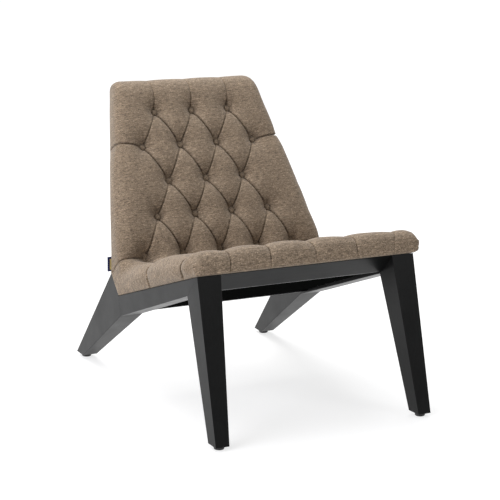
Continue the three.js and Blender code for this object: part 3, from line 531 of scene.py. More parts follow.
# the depth can't be more than the wall leaves at the ends
room = np.minimum(1.0, WALL[:, None] / 40.0)
edge_i = np.minimum(rows_L - L0, L1 - rows_L)[:, None]
edge = smooth_step(edge_i, 0, 26) * smooth_step(W, 0.0, 0.16)
P1 = P - N0 * (soft * room * edge)[..., None]


# ---------------------------------------------------------------- meshes
def mesh_object(name, verts, faces, smooth=True):
    """verts in mm."""
    me = bpy.data.meshes.new(name)
    me.from_pydata([tuple(v) for v in np.asarray(verts, float) * MM], [], [tuple(int(k) for k in f) for f in faces])
    me.update()
    if smooth:
        me.polygons.foreach_set("use_smooth", [True] * len(me.polygons))
    ob = bpy.data.objects.new(name, me)
    scene.collection.objects.link(ob)
    return ob


def set_uv(ob, uv):
    """uv per vertex, in metres."""
    me = ob.data
    layer = me.uv_layers.new(name="UVMap")
    idx = np.zeros(len(me.loops), np.int32)
    me.loops.foreach_get("vertex_index", idx)
    layer.data.foreach_set("uv", np.asarray(uv, np.float32)[idx].ravel())


def simulate(P, pins, pressure=3.2, frames=20, cap=7.0):
    """Blows the cover up as cloth held at the pins, and returns the grid that it moves to."""
    ni, nj = P.shape[:2]
    idx = np.arange(ni * nj).reshape(ni, nj)
    faces = np.stack([idx[:-1, :-1], idx[:-1, 1:], idx[1:, 1:], idx[1:, :-1]], -1).reshape(-1, 4)
    ob = mesh_object("cloth_tmp", P.reshape(-1, 3), faces)
    g = ob.vertex_groups.new(name="pin")
    flat = pins.reshape(-1)
    levels = np.round(flat * 20) / 20
    for w in np.unique(levels):
        if w > 0:
            g.add([int(k) for k in np.nonzero(levels == w)[0]], float(w), "REPLACE")
    mod = ob.modifiers.new("cloth", "CLOTH")
    s = mod.settings
    s.quality = 5
    s.mass = 0.35
    s.tension_stiffness = 14
    s.compression_stiffness = 14
    s.shear_stiffness = 6
    s.bending_stiffness = 0.6
    s.tension_damping = 12
    s.air_damping = 3
    s.vertex_group_mass = "pin"
    s.pin_stiffness = 1.0
    s.use_pressure = True
    s.uniform_pressure_force = pressure
    s.effector_weights.gravity = 0
    mod.collision_settings.use_collision = False
    mod.collision_settings.use_self_collision = False
    mod.point_cache.frame_start, mod.point_cache.frame_end = 1, frames
    for f in range(1, frames + 1):
        scene.frame_set(f)
    dg = bpy.context.evaluated_depsgraph_get()
    me = ob.evaluated_get(dg).data
    co = np.zeros(len(me.vertices) * 3, np.float32)
    me.vertices.foreach_get("co", co)
    Q = co.reshape(ni, nj, 3).astype(float) / MM
    bpy.data.objects.remove(ob)
    scene.frame_set(1)
    move = Q - P
    size = np.linalg.norm(move, axis=2, keepdims=True)
    move *= np.where(size > cap, cap / np.maximum(size, 1e-9), 1.0)
    return P + move


Q = P1
# a coarser grid is simulated, and the movement is spread over the rest
si, sj = 4, 2
ci, cj = np.arange(0, NI, si), np.arange(0, NJ, sj)
pick = np.ix_(ci, cj)
Pc, Vc, Lc = P1[pick], V[pick], LL[pick]
pin = np.zeros(Pc.shape[:2])
for path, dep, cut_, kind in PLEATS:
    lo, hi = path.min(0) - 20, path.max(0) + 20
    m = (Vc > lo[0]) & (Vc < hi[0]) & (Lc > lo[1]) & (Lc < hi[1])
    d, _, u = to_path(Vc[m], Lc[m], path)
    hold = 0.9 if kind == "diamond" else 0.75
    pin[m] = np.maximum(pin[m], hold * np.exp(-((d / 4.5) ** 2)) * (1 - 0.6 * smooth_step(u, 0.8, 1.0) * (kind != "diamond")))
pin = np.maximum(pin, 1 - smooth_step(near[pick], 9, 16))
pin[:3] = pin[-3:] = 1
pin[:, :3] = pin[:, -3:] = 1
Qc = simulate(Pc, pin)
move = Qc - Pc
ii, jj = np.arange(NI) / si, np.arange(NJ) / sj
i0, j0 = np.minimum(ii.astype(int), len(ci) - 2), np.minimum(jj.astype(int), len(cj) - 2)
fi, fj = (ii - i0)[:, None, None], (jj - j0)[None, :, None]
full = (
    move[i0][:, j0] * (1 - fi) * (1 - fj)
    + move[i0 + 1][:, j0] * fi * (1 - fj)
    + move[i0][:, j0 + 1] * (1 - fi) * fj
    + move[i0 + 1][:, j0 + 1] * fi * fj
)
full = full * (smooth_step(edge_i, 0, 40) * smooth_step(W, 0.0, 0.35))[..., None]
Q = P1 + blur_grid(full, 4)
print("cloth moved, mm:", float(np.linalg.norm(move, axis=2).max()), float(np.linalg.norm(move, axis=2).mean()))

N1 = blur_grid(grid_normals(Q), 3)
N1 /= np.maximum(np.linalg.norm(N1, axis=2, keepdims=True), 1e-9)
sharp = (FOLD * fold - 0.8 * lip + gather) * np.minimum(1, WALL[:, None] / 30.0)
Q = Q - N1 * (sharp * smooth_step(edge_i, 0, 8) * smooth_step(W, 0.0, 0.06))[..., None]


def triangulated(idx, snapped, level):
    """Quads of a grid, cut along the pleats where a pleat crosses one from corner to corner."""
    a, b, c, d = idx[:-1, :-1], idx[:-1, 1:], idx[1:, 1:], idx[1:, :-1]
    on = snapped | level
    sa, sb, sc, sd = on[:-1, :-1], on[:-1, 1:], on[1:, 1:], on[1:, :-1]
    down = sa & sc & ~sb & ~sd
    up = sb & sd & ~sa & ~sc
    faces = []
    plain = ~(down | up)
    faces += np.stack([a, b, c, d], -1)[plain].tolist()
    faces += np.stack([a, b, c], -1)[down].tolist() + np.stack([a, c, d], -1)[down].tolist()
    faces += np.stack([a, b, d], -1)[up].tolist() + np.stack([b, c, d], -1)[up].tolist()
    return faces


def closed_cover(name, lo, hi, seam_at):
    """Rows lo to hi of the cover, turned in at the rim and closed underneath. seam_at says which end meets the other pad: 0 the first row, 2 the last."""
    G = Q[lo : hi + 1]
    ni, nj = G.shape[:2]
    idx = np.arange(ni * nj).reshape(ni, nj)
    faces = triangulated(idx, snapped[lo : hi + 1], level[lo : hi + 1])
    verts = [G.reshape(-1, 3)]
    loop = np.r_[idx[0, :-1], idx[:-1, -1], idx[-1, :0:-1], idx[:0:-1, 0]]
    pos = G.reshape(-1, 3)[loop]
    side = np.r_[np.zeros(nj - 1), np.ones(ni - 1), np.full(nj - 1, 2), np.full(ni - 1, 3)].astype(int)
    row = np.r_[np.zeros(nj - 1), np.arange(ni - 1), np.full(nj - 1, ni - 1), np.arange(ni - 1, 0, -1)].astype(int)
    inward = np.zeros((len(loop), 3))
    up = np.zeros((len(loop), 3))
    rise = (E - R)[lo : hi + 1] / np.maximum(WALL[lo : hi + 1], 1e-6)[:, None]
    up[:, 1:] = rise[row]
    if seam_at != 0:
        up[row < 45, 1:] = seat(0, 1) - seat(0, 0)
    if seam_at != 2:
        up[row > ni - 46, 1:] = backrest(0, 1) - backrest(0, 0)
    ends = {0: seat(0, 0) - seat(1, 0), 2: backrest(0, 0) - backrest(1, 0)}
    x_in = -pos[:, 0] / 285.0
    inward[:, 0] = np.where(side == 1, -1, np.where(side == 3, 1, np.where(abs(x_in) > 0.9, np.sign(x_in), 0)))
    for k in (0, 2):
        if seam_at != k:
            inward[side == k, 1:] = ends[k]
    seam = side == seam_at
    base_yz = R[lo : hi + 1][row]
    # the sides' rings end as far from a free end as its own ring lies
    free = 2 if seam_at == 0 else 0
    end_yz = base_yz[side == free][0]
    beyond = np.where((side == 1) | (side == 3), np.linalg.norm(base_yz - end_yz, axis=1), 1e3)
    height = ((pos[:, 1:] - base_yz) * up[:, 1:]).sum(1)
    prev = loop
    base = ni * nj
    half = abs(pos[:, 0]).max()
    for inset, lift, f in ((1.6, 0.1, 0.03), (16.0, 0.1, 0.5), (18.5, 13.0, 1.0)):
        ring = pos + inward * inset + up * lift
        ring[:, 1:] += np.maximum(0.0, inset - beyond)[:, None] * ends[free]
        s = ring[seam]
        s[:, 0] = pos[seam, 0] * (1 - inset / half)
        h = height[seam] + (lift - height[seam]) * f
        s[:, 1:] = base_yz[seam] + up[seam, 1:] * h[:, None]
        # the two pads stay a hair apart behind the seam
        away = (E[SEAM + (1 if seam_at == 0 else -1)] - E[SEAM]) / np.linalg.norm(E[SEAM + (1 if seam_at == 0 else -1)] - E[SEAM])
        s[:, 1:] += away * 0.2
        ring[seam] = s
        cur = base + np.arange(len(loop))
        verts.append(ring)
        nxt_p, nxt_c = np.roll(prev, -1), np.roll(cur, -1)
        faces += np.stack([nxt_p, prev, cur, nxt_c], -1).tolist()
        prev, base = cur, base + len(loop)
    # rung by rung between the two long sides, and a cap at either end
    right = {int(r): int(k) for k, r in zip(prev[side == 1], row[side == 1])}
    left = {int(r): int(k) for k, r in zip(prev[side == 3], row[side == 3])}
    right[ni - 1] = int(prev[side == 2][0])
    left[0] = int(prev[side == 0][0])
    k0 = 1 if seam_at == 0 else 20
    k1 = ni - 2 if seam_at == 2 else ni - 22
    for r in range(k0, k1):
        faces.append((left[r], left[r + 1], right[r + 1], right[r]))
    front = list(prev[side == 0]) + [right[r] for r in range(0, k0 + 1)] + [left[r] for r in range(k0, 0, -1)]
    faces.append(tuple(int(k) for k in front[::-1]))
    top = [right[r] for r in range(k1, ni - 1)] + list(prev[side == 2]) + [left[r] for r in range(ni - 1, k1 - 1, -1)]
    faces.append(tuple(int(k) for k in top[::-1]))
    ob = mesh_object(name, np.vstack(verts), faces)
    me = ob.data
    # the row at the seam is shaded apart from the wall behind it
    pairs = np.zeros(len(me.edges) * 2, np.int32)
    me.edges.foreach_get("vertices", pairs)
    pairs = pairs.reshape(-1, 2)
    line = np.zeros(len(me.vertices), bool)
    line[idx[0] if seam_at == 0 else idx[-1]] = True
    me.edges.foreach_set("use_edge_sharp", (line[pairs[:, 0]] & line[pairs[:, 1]]).tolist())
    uv = np.zeros((len(me.vertices), 2))
    uv[: ni * nj, 0] = V[lo : hi + 1].ravel() * MM
    uv[: ni * nj, 1] = LL[lo : hi + 1].ravel() * MM
    ring_uv = uv[loop]
    for k in range(3):
        uv[ni * nj + k * len(loop) : ni * nj + (k + 1) * len(loop)] = ring_uv + 0.004 * (k + 1)
    set_uv(ob, uv)
    return ob


seat_cover = closed_cover("seat_upholstery", 0, SEAM, 2)
back_cover = closed_cover("back_upholstery", SEAM, NI - 1, 0)
for ob, pad in ((seat_cover, "seat_pad"), (back_cover, "back_pad")):
    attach(ob, "root")
    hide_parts(pad)


# ---------------------------------------------------------------- materials
def material(name):
    m = bpy.data.materials.new(name)
    m.use_nodes = True
    nt = m.node_tree
    bsdf = nt.nodes["Principled BSDF"]
    return m, nt, bsdf


def node(nt, kind, **inputs):
    n = nt.nodes.new(kind)
    for k, v in inputs.items():
        if k in n.inputs:
            n.inputs[k].default_value = v
        else:
            setattr(n, k, v)
    return n


def ramp(nt, fac, stops):
    r = nt.nodes.new("ShaderNodeValToRGB")
    els = r.color_ramp.elements
    while len(els) < len(stops):
        els.new(0.5)
    for e, (p, c) in zip(els, stops):
        e.position = p
        e.color = (*c, 1.0)
    nt.links.new(fac, r.inputs["Fac"])
    return r


def mapped(nt, source, scale, rotation=(0, 0, 0)):
    tc = nt.nodes.new("ShaderNodeTexCoord")
    mp = nt.nodes.new("ShaderNodeMapping")
    mp.inputs["Scale"].default_value = scale
    mp.inputs["Rotation"].default_value = rotation
    nt.links.new(tc.outputs[source], mp.inputs["Vector"])
    return mp.outputs["Vector"]


def noise(nt, vec, scale=1.0, detail=2.0, rough=0.5, distortion=0.0):
    n = nt.nodes.new("ShaderNodeTexNoise")
    n.inputs["Scale"].default_value = scale
    n.inputs["Detail"].default_value = detail
    n.inputs["Roughness"].default_value = rough
    n.inputs["Distortion"].default_value = distortion
    nt.links.new(vec, n.inputs["Vector"])
    return n.outputs["Fac"]


def mix(nt, kind, fac, a, b):
    m = nt.nodes.new("ShaderNodeMix")
    m.data_type = "RGBA"
    m.blend_type = kind
    if isinstance(fac, (int, float)):
        m.inputs["Factor"].default_value = fac
    else:
        nt.links.new(fac, m.inputs["Factor"])
    for sock, val in ((m.inputs["A"], a), (m.inputs["B"], b)):
        if isinstance(val, tuple):
            sock.default_value = (*val, 1.0)
        else:
            nt.links.new(val, sock)
    return m.outputs["Result"]


def maths(nt, op, a, b=None):
    m = nt.nodes.new("ShaderNodeMath")
    m.operation = op
    for sock, val in ((m.inputs[0], a), (m.inputs[1], b)):
        if val is None:
            continue
        if isinstance(val, (int, float)):
            sock.default_value = val
        else:
            nt.links.new(val, sock)
    return m.outputs[0]


def bump(nt, height, strength, distance, normal=None):
    b = nt.nodes.new("ShaderNodeBump")
    b.inputs["Strength"].default_value = strength
    b.inputs["Distance"].default_value = distance
    nt.links.new(height, b.inputs["Height"])
    if normal is not None:
        nt.links.new(normal, b.inputs["Normal"])
    return b.outputs["Normal"]


def fabric_material(name, dark, mid, light, grain=1.0):
    """Heather cloth: mixed yarns in streaks across, over a fine weave. Its pattern lies in the piece's own UV, in metres."""
    m, nt, bsdf = material(name)
    fibres = noise(nt, mapped(nt, "UV", (330, 520, 1)), 1.0, 3.0, 0.6, 0.2)
    streak = noise(nt, mapped(nt, "UV", (105, 300, 1)), 1.0, 3.0, 0.6, 0.3)
    patch = noise(nt, mapped(nt, "UV", (24, 40, 1)), 1.0, 2.0, 0.5)
    both = maths(nt, "ADD", maths(nt, "MULTIPLY", fibres, 0.62), maths(nt, "MULTIPLY", streak, 0.38))
    col = ramp(nt, both, [(0.37, dark), (0.49, mid), (0.61, light)]).outputs["Color"]
    warm = noise(nt, mapped(nt, "UV", (210, 380, 1)), 1.3, 2.0, 0.6, 0.4)
    tint = ramp(nt, warm, [(0.38, (0.97, 0.97, 1.0)), (0.62, (1.03, 1.0, 0.93))]).outputs["Color"]
    col = mix(nt, "MULTIPLY", 1.0, col, tint)
    slub = noise(nt, mapped(nt, "UV", (64, 165, 1)), 1.0, 2.0, 0.55, 0.3)
    col = mix(nt, "MULTIPLY", 1.0, col, ramp(nt, slub, [(0.36, (1 - 0.14 * grain,) * 3), (0.64, (1 + 0.13 * grain,) * 3)]).outputs["Color"])
    mottle = noise(nt, mapped(nt, "UV", (190, 270, 1)), 1.0, 1.5, 0.5)
    col = mix(nt, "MULTIPLY", 1.0, col, ramp(nt, mottle, [(0.36, (1 - 0.12 * grain,) * 3), (0.64, (1 + 0.11 * grain,) * 3)]).outputs["Color"])
    rib = noise(nt, mapped(nt, "UV", (30, 400, 1)), 1.0, 2.5, 0.6, 0.5)
    col = mix(nt, "MULTIPLY", 1.0, col, ramp(nt, rib, [(0.36, (0.89, 0.89, 0.89)), (0.64, (1.10, 1.10, 1.10))]).outputs["Color"])
    shade = ramp(nt, patch, [(0.3, (0.93, 0.93, 0.93)), (0.7, (1.06, 1.06, 1.06))]).outputs["Color"]
    col = mix(nt, "MULTIPLY", 1.0, col, shade)
    nt.links.new(col, bsdf.inputs["Base Color"])
    bsdf.inputs["Roughness"].default_value = 0.92
    bsdf.inputs["Specular IOR Level"].default_value = 0.25
    bsdf.inputs["Sheen Weight"].default_value = 0.22
    bsdf.inputs["Sheen Roughness"].default_value = 0.45
    bsdf.inputs["Sheen Tint"].default_value = (0.9, 0.86, 0.8, 1)
    # weave: two crossed sets of yarns
    w1 = nt.nodes.new("ShaderNodeTexWave")
    w1.wave_type, w1.bands_direction = "BANDS", "X"
    w1.inputs["Scale"].default_value = 1.0
    w1.inputs["Distortion"].default_value = 1.2
    w1.inputs["Detail"].default_value = 1.0
    nt.links.new(mapped(nt, "UV", (260, 260, 1)), w1.inputs["Vector"])
    w2 = nt.nodes.new("ShaderNodeTexWave")
    w2.wave_type, w2.bands_direction = "BANDS", "Y"
    w2.inputs["Scale"].default_value = 1.0
    w2.inputs["Distortion"].default_value = 1.2
    w2.inputs["Detail"].default_value = 1.0
    nt.links.new(mapped(nt, "UV", (260, 300, 1)), w2.inputs["Vector"])
    weave = maths(nt, "MULTIPLY", w1.outputs["Fac"], w2.outputs["Fac"])
    height = maths(nt, "ADD", maths(nt, "MULTIPLY", weave, 0.5), both)
    normal = bump(nt, height, 0.55, 0.0007)
    nt.links.new(normal, bsdf.inputs["Normal"])
    return m


def paint_material(name, direction):
    """Satin black paint over close-grained timber; direction is the grain's."""
    m, nt, bsdf = material(name)
    scale = [220.0, 220.0, 220.0]
    grain_scale = [260.0 if k != direction else 9.0 for k in range(3)]
    grain = noise(nt, mapped(nt, "Object", tuple(grain_scale)), 1.0, 4.0, 0.6, 0.2)
    cloud = noise(nt, mapped(nt, "Object", (14, 14, 14)), 1.0, 3.0, 0.55)
    col = ramp(nt, grain, [(0.35, (0.0019, 0.0020, 0.0021)), (0.65, (0.0034, 0.0036, 0.0036))]).outputs["Color"]
    col = mix(nt, "MULTIPLY", 1.0, col, ramp(nt, cloud, [(0.3, (0.9, 0.9, 0.9)), (0.7, (1.1, 1.1, 1.1))]).outputs["Color"])
    nt.links.new(col, bsdf.inputs["Base Color"])
    r = nt.nodes.new("ShaderNodeMapRange")
    r.inputs["From Min"].default_value = 0.3
    r.inputs["From Max"].default_value = 0.7
    r.inputs["To Min"].default_value = 0.33
    r.inputs["To Max"].default_value = 0.43
    nt.links.new(cloud, r.inputs["Value"])
    nt.links.new(r.outputs["Result"], bsdf.inputs["Roughness"])
    bsdf.inputs["Specular IOR Level"].default_value = 0.11
    bsdf.inputs["Coat Weight"].default_value = 0.18
    bsdf.inputs["Coat Roughness"].default_value = 0.22
    normal = bump(nt, grain, 0.2, 0.0003)
    nt.links.new(normal, bsdf.inputs["Normal"])
    return m


def timber_material(name, light, dark, direction=1):
    m, nt, bsdf = material(name)
    gs = [120.0 if k != direction else 5.0 for k in range(3)]
    grain = noise(nt, mapped(nt, "Object", tuple(gs)), 1.0, 4.0, 0.6, 0.6)
    fleck = noise(nt, mapped(nt, "Object", tuple(900.0 if k != direction else 160.0 for k in range(3))), 1.0, 1.0, 0.5)
    col = ramp(nt, grain, [(0.3, dark), (0.7, light)]).outputs["Color"]
    col = mix(nt, "MULTIPLY", 1.0, col, ramp(nt, fleck, [(0.32, (0.78, 0.72, 0.66)), (0.42, (1, 1, 1))]).outputs["Color"])
    nt.links.new(col, bsdf.inputs["Base Color"])
    bsdf.inputs["Roughness"].default_value = 0.62
    nt.links.new(bump(nt, grain, 0.2, 0.0004), bsdf.inputs["Normal"])
    return m


def metal_material(name, colour):
    m, nt, bsdf = material(name)
    n = noise(nt, mapped(nt, "Object", (900, 900, 60)), 1.0, 3.0, 0.6)
    col = ramp(nt, n, [(0.3, tuple(c * 0.8 for c in colour)), (0.7, colour)]).outputs["Color"]
    nt.links.new(col, bsdf.inputs["Base Color"])
    bsdf.inputs["Metallic"].default_value = 1.0
    r = nt.nodes.new("ShaderNodeMapRange")
    r.inputs["To Min"].default_value = 0.28
    r.inputs["To Max"].default_value = 0.45
    nt.links.new(n, r.inputs["Value"])
    nt.links.new(r.outputs["Result"], bsdf.inputs["Roughness"])
    return m


def plastic_material(name, colour):
    m, nt, bsdf = material(name)
    n = noise(nt, mapped(nt, "Object", (1600, 1600, 1600)), 1.0, 2.0, 0.5)
    col = ramp(nt, n, [(0.3, tuple(c * 0.85 for c in colour)), (0.7, tuple(c * 1.15 for c in colour))]).outputs["Color"]
    nt.links.new(col, bsdf.inputs["Base Color"])
    bsdf.inputs["Roughness"].default_value = 0.5
    nt.links.new(bump(nt, n, 0.25, 0.0001), bsdf.inputs["Normal"])
    return m


def cloth_material(name, dark, light, scale=900.0, spec=0.2):
    m, nt, bsdf = material(name)
    w1 = nt.nodes.new("ShaderNodeTexWave")
    w1.bands_direction = "X"
    w1.inputs["Scale"].default_value = 1.0
    w1.inputs["Distortion"].default_value = 0.6
    nt.links.new(mapped(nt, "UV", (scale / 3, scale / 3, 1)), w1.inputs["Vector"])
    w2 = nt.nodes.new("ShaderNodeTexWave")
    w2.bands_direction = "Y"
    w2.inputs["Scale"].default_value = 1.0
    w2.inputs["Distortion"].default_value = 0.6
    nt.links.new(mapped(nt, "UV", (scale / 3, scale / 3, 1)), w2.inputs["Vector"])
    weave = maths(nt, "MULTIPLY", w1.outputs["Fac"], w2.outputs["Fac"])
    n = noise(nt, mapped(nt, "UV", (60, 60, 1)), 1.0, 3.0, 0.6)
    col = ramp(nt, maths(nt, "ADD", maths(nt, "MULTIPLY", weave, 0.5), maths(nt, "MULTIPLY", n, 0.5)), [(0.2, dark), (0.7, light)]).outputs["Color"]
    nt.links.new(col, bsdf.inputs["Base Color"])
    bsdf.inputs["Roughness"].default_value = 0.95
    bsdf.inputs["Specular IOR Level"].default_value = spec
    nt.links.new(bump(nt, weave, 0.4, 0.0003), bsdf.inputs["Normal"])
    return m


FABRIC = fabric_material("heather_fabric", (0.088, 0.0648, 0.0448), (0.169, 0.1268, 0.0896), (0.283, 0.219, 0.1565))
FABRIC_SEAT = fabric_material("heather_fabric_seat", (0.078, 0.0572, 0.0395), (0.166, 0.1245, 0.088), (0.318, 0.246, 0.176), 1.25)
PAINT = {k: paint_material("black_paint_" + "xyz"[k], k) for k in (0, 1, 2)}
BEECH = timber_material("beech", (0.56, 0.37, 0.21), (0.42, 0.26, 0.14))
STAINED = timber_material("beech_stained_black", (0.014, 0.013, 0.012), (0.008, 0.0075, 0.007))
PLY = timber_material("plywood", (0.62, 0.47, 0.29), (0.47, 0.33, 0.19), 0)
PLY_STAINED = timber_material("plywood_stained_black", (0.014, 0.013, 0.012), (0.008, 0.0075, 0.007), 0)
STEEL = metal_material("zinc_steel", (0.62, 0.63, 0.65))
PLASTIC = plastic_material("glide_plastic", (0.012, 0.012, 0.013))
# black lining cloth with painted shade: its colour is near zero and its reflection is off, darker than the cloth
# itself, to stand in for the deep shade under the seat
LINING_BLACK_AND_SHADE = cloth_material("lining_cloth", (0.0020, 0.0022, 0.0021), (0.0062, 0.0065, 0.0062), spec=0.0)
STAPLE = metal_material("dark_staples", (0.02, 0.02, 0.022))
TAB = cloth_material("tab_cloth", (0.011, 0.015, 0.046), (0.022, 0.028, 0.088), 2400.0, 0.08)
TAB_EDGE = cloth_material("tab_thread", (0.30, 0.23, 0.085), (0.46, 0.37, 0.16), 2400.0, 0.1)


def dress(ob, *mats):
    ob.data.materials.clear()
    for m in mats:
        ob.data.materials.append(m)


dress(seat_cover, FABRIC_SEAT)
dress(back_cover, FABRIC)


def inner_material(n):
    if n == "heel_bar":
        return STAINED
    if n.startswith(("loose_tenon", "corner_block", "dust_cover_batten", "back_stile", "heel_bar", "back_top_rail")):
        return BEECH
    if n.startswith(("shell_bolt", "tee_nut", "heel_screw", "back_bracket")):
        return STEEL
    if n == "seat_base_panel":
        return PLY_STAINED
    if n == "back_panel":
        return PLY
    if n.startswith("glide"):
        return PLASTIC
    return None


for n, ob in nodes.items():
    mat = inner_material(n)
    if mat is not None:
        dress(ob, mat)


# ---------------------------------------------------------------- painted timber: the CAD shapes with their arrises eased
def near_line(p, a, b, tol):
    a, b = Vector(a), Vector(b)
    d = (b - a).normalized()
    q = Vector((p.y / MM, p.z / MM)) - a
    return abs(q.x * d.y - q.y * d.x) < tol


JOINTS = (((-317.0, 378.4), (-266.3, 322.7)), ((117.3, 180.6), (129.5, 229.4)))


def eased(name, grain, width=1.8):
    src = nodes[name]
    me = src.data.copy()
    me.name = name + "_painted"
    bm = bmesh.new()
    bm.from_mesh(me)
    bmesh.ops.remove_doubles(bm, verts=bm.verts, dist=1e-6)
    bmesh.ops.dissolve_limit(bm, angle_limit=math.radians(1.0), verts=bm.verts, edges=bm.edges)
    cross = name in ("front_rail", "rear_rail")
    half = max(abs(v.co.x) for v in bm.verts)
    picked = []
    for e in bm.edges:
        if len(e.link_faces) != 2 or e.calc_face_angle(0) < math.radians(20) or e.calc_length() < 0.012:
            continue
        a, b = e.verts[0].co, e.verts[1].co
        if any(near_line(a, *j, 0.9) and near_line(b, *j, 0.9) for j in JOINTS) and not cross:
            continue
        if cross and abs(abs(a.x) - half) < 0.0005 and abs(abs(b.x) - half) < 0.0005:
            continue
        picked.append(e)
    bmesh.ops.bevel(bm, geom=picked, offset=width * MM, segments=3, profile=0.6, affect="EDGES", clamp_overlap=True)
    bm.to_mesh(me)
    bm.free()
    for p in me.polygons:
        p.use_smooth = True
    me.set_sharp_from_angle(angle=math.radians(28))
    ob = bpy.data.objects.new(name + "_painted", me)
    scene.collection.objects.link(ob)
    wn = ob.modifiers.new("normals", "WEIGHTED_NORMAL")
    wn.keep_sharp = True
    dress(ob, PAINT[grain])
    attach(ob, "root")
    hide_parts(name)
    return ob


for side in ("left", "right"):
    eased("front_leg_" + side, 2)
    eased("rear_leg_" + side, 2)
    eased("side_rail_" + side, 1)
eased("front_rail", 0)
eased("rear_rail", 0)


# ---------------------------------------------------------------- covered buttons
def lathe(profile, sides, wobble=None):
    """Rings round +Z from (r, z) in mm, first and last on the axis."""
    verts, faces = [(0, 0, profile[0][1])], []
    a = np.arange(sides) / sides * 2 * math.pi
    rings = profile[1:-1]
    for k, (r, z) in enumerate(rings):
        rr = np.full(sides, r)
        zz = np.full(sides, z)
        if wobble is not None:
            dr, dz = wobble(a, k / max(1, len(rings) - 1))
            rr, zz = rr + dr, zz + dz
        verts += list(zip(rr * np.cos(a), rr * np.sin(a), zz))
    verts.append((0, 0, profile[-1][1]))
    last = len(verts) - 1
    for j in range(sides):
        faces.append((0, 1 + (j + 1) % sides, 1 + j))
        for k in range(len(rings) - 1):
            p, q = 1 + k * sides, 1 + (k + 1) * sides
            faces.append((p + j, p + (j + 1) % sides, q + (j + 1) % sides, q + j))
        p = 1 + (len(rings) - 1) * sides
        faces.append((p + j, p + (j + 1) % sides, last))
    return np.array(verts, float), faces


def tube(points, r, sides=8):
    """A closed round tube along points."""
    pts = np.asarray(points, float)
    verts, faces = [], []
    tang = np.gradient(pts, axis=0)
    tang /= np.linalg.norm(tang, axis=1, keepdims=True)
    ref = np.array([0.13, 0.99, 0.05]) if abs(tang[0][1]) < 0.9 else np.array([1.0, 0, 0])
    for p, t in zip(pts, tang):
        u = np.cross(t, ref)
        u /= np.linalg.norm(u)
        w = np.cross(t, u)
        for k in range(sides):
            a = 2 * math.pi * k / sides
            verts.append(p + r * (math.cos(a) * u + math.sin(a) * w))
    for i in range(len(pts) - 1):
        for k in range(sides):
            faces.append((i * sides + k, i * sides + (k + 1) % sides, (i + 1) * sides + (k + 1) % sides, (i + 1) * sides + k))
    faces.append(tuple(range(sides))[::-1])
    faces.append(tuple((len(pts) - 1) * sides + k for k in range(sides)))
    return np.array(verts), faces


DOME = [(0, -3.2), (4.2, -3.4), (6.9, -3.0), (7.8, -2.1), (8.1, -1.0), (7.9, 0.2), (7.2, 1.5), (6.0, 2.5), (4.3, 3.3), (2.2, 3.8), (0, 3.9)]


def button_row(name, cad, places, frame_of, deep):
    """places are (x, along); frame_of(along, out) gives (y, z)."""
    verts, faces, uv = [], [], []
    count = 0

    def put(v, f, u):
        nonlocal count
        verts.append(v)
        faces.extend([tuple(k + count for k in q) for q in f])
        uv.append(u)
        count += len(v)

    for x, l in places:
        turn = rng.uniform(0, 6.28)
        tiltx, tilty = rng.normal(0, 0.05, 2)
        phase = rng.uniform(0, 6.28)

        def folds(a, k):
            # gathers of the cloth at the rim
            g = 0.16 * np.sin(9 * a + phase) * math.exp(-((k - 0.22) / 0.22) ** 2)
            return g, g * 0.3

        v, f = lathe(DOME, 28, folds)
        v[:, 2] += tiltx * v[:, 0] + tilty * v[:, 1]
        u = np.stack([v[:, 0] * math.cos(turn) - v[:, 1] * math.sin(turn), v[:, 0] * math.sin(turn) + v[:, 1] * math.cos(turn)], -1) * MM
        u += rng.uniform(-0.5, 0.5, 2)
        yz = frame_of(l + v[:, 1], v[:, 2])
        put(np.c_[x + v[:, 0], yz], f, u)
        pts = [np.r_[x, frame_of(l, z)] for z in np.linspace(-2, deep, 7)]
        v, f = tube(pts, 1.1, 6)
        put(v, f, v[:, :2] * MM)
    xs = sorted(p[0] for p in places)
    l = places[0][1]
    pts = []
    for x in np.linspace(xs[0] - 2, xs[-1] + 2, 40):
        pts.append(np.r_[x, frame_of(l, deep)])
    v, f = tube(pts, 1.1, 6)
    put(v, f, v[:, :2] * MM)
    ob = mesh_object(name, np.vstack(verts), faces)
    set_uv(ob, np.vstack(uv))
    dress(ob, FABRIC)
    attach(ob, "root")
    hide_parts(cad)
    return ob


for i, (L, cols) in enumerate(ROWS):
    if i <= 4:
        cad = "crease_button_row" if i == 4 else f"back_button_row_{i + 1}"
        drop = 10.5 if i == 4 else 0.0
        button_row(cad.replace("row", "set"), cad, [(c * COL, L) for c in cols], lambda s, n, d=drop: backrest(s, np.asarray(n) - d), -58.3 + drop)
    else:
        t = ROW_T[i - 5]
        cad = f"seat_button_row_{i - 4}"
        button_row(cad.replace("row", "set"), cad, [(c * COL, t) for c in cols], lambda a, n: seat(a, 34 + np.asarray(n)), -35.7)


# ---------------------------------------------------------------- plain panel over the back of the shell
def half_width(s):
    return 279 - 0.196 * s


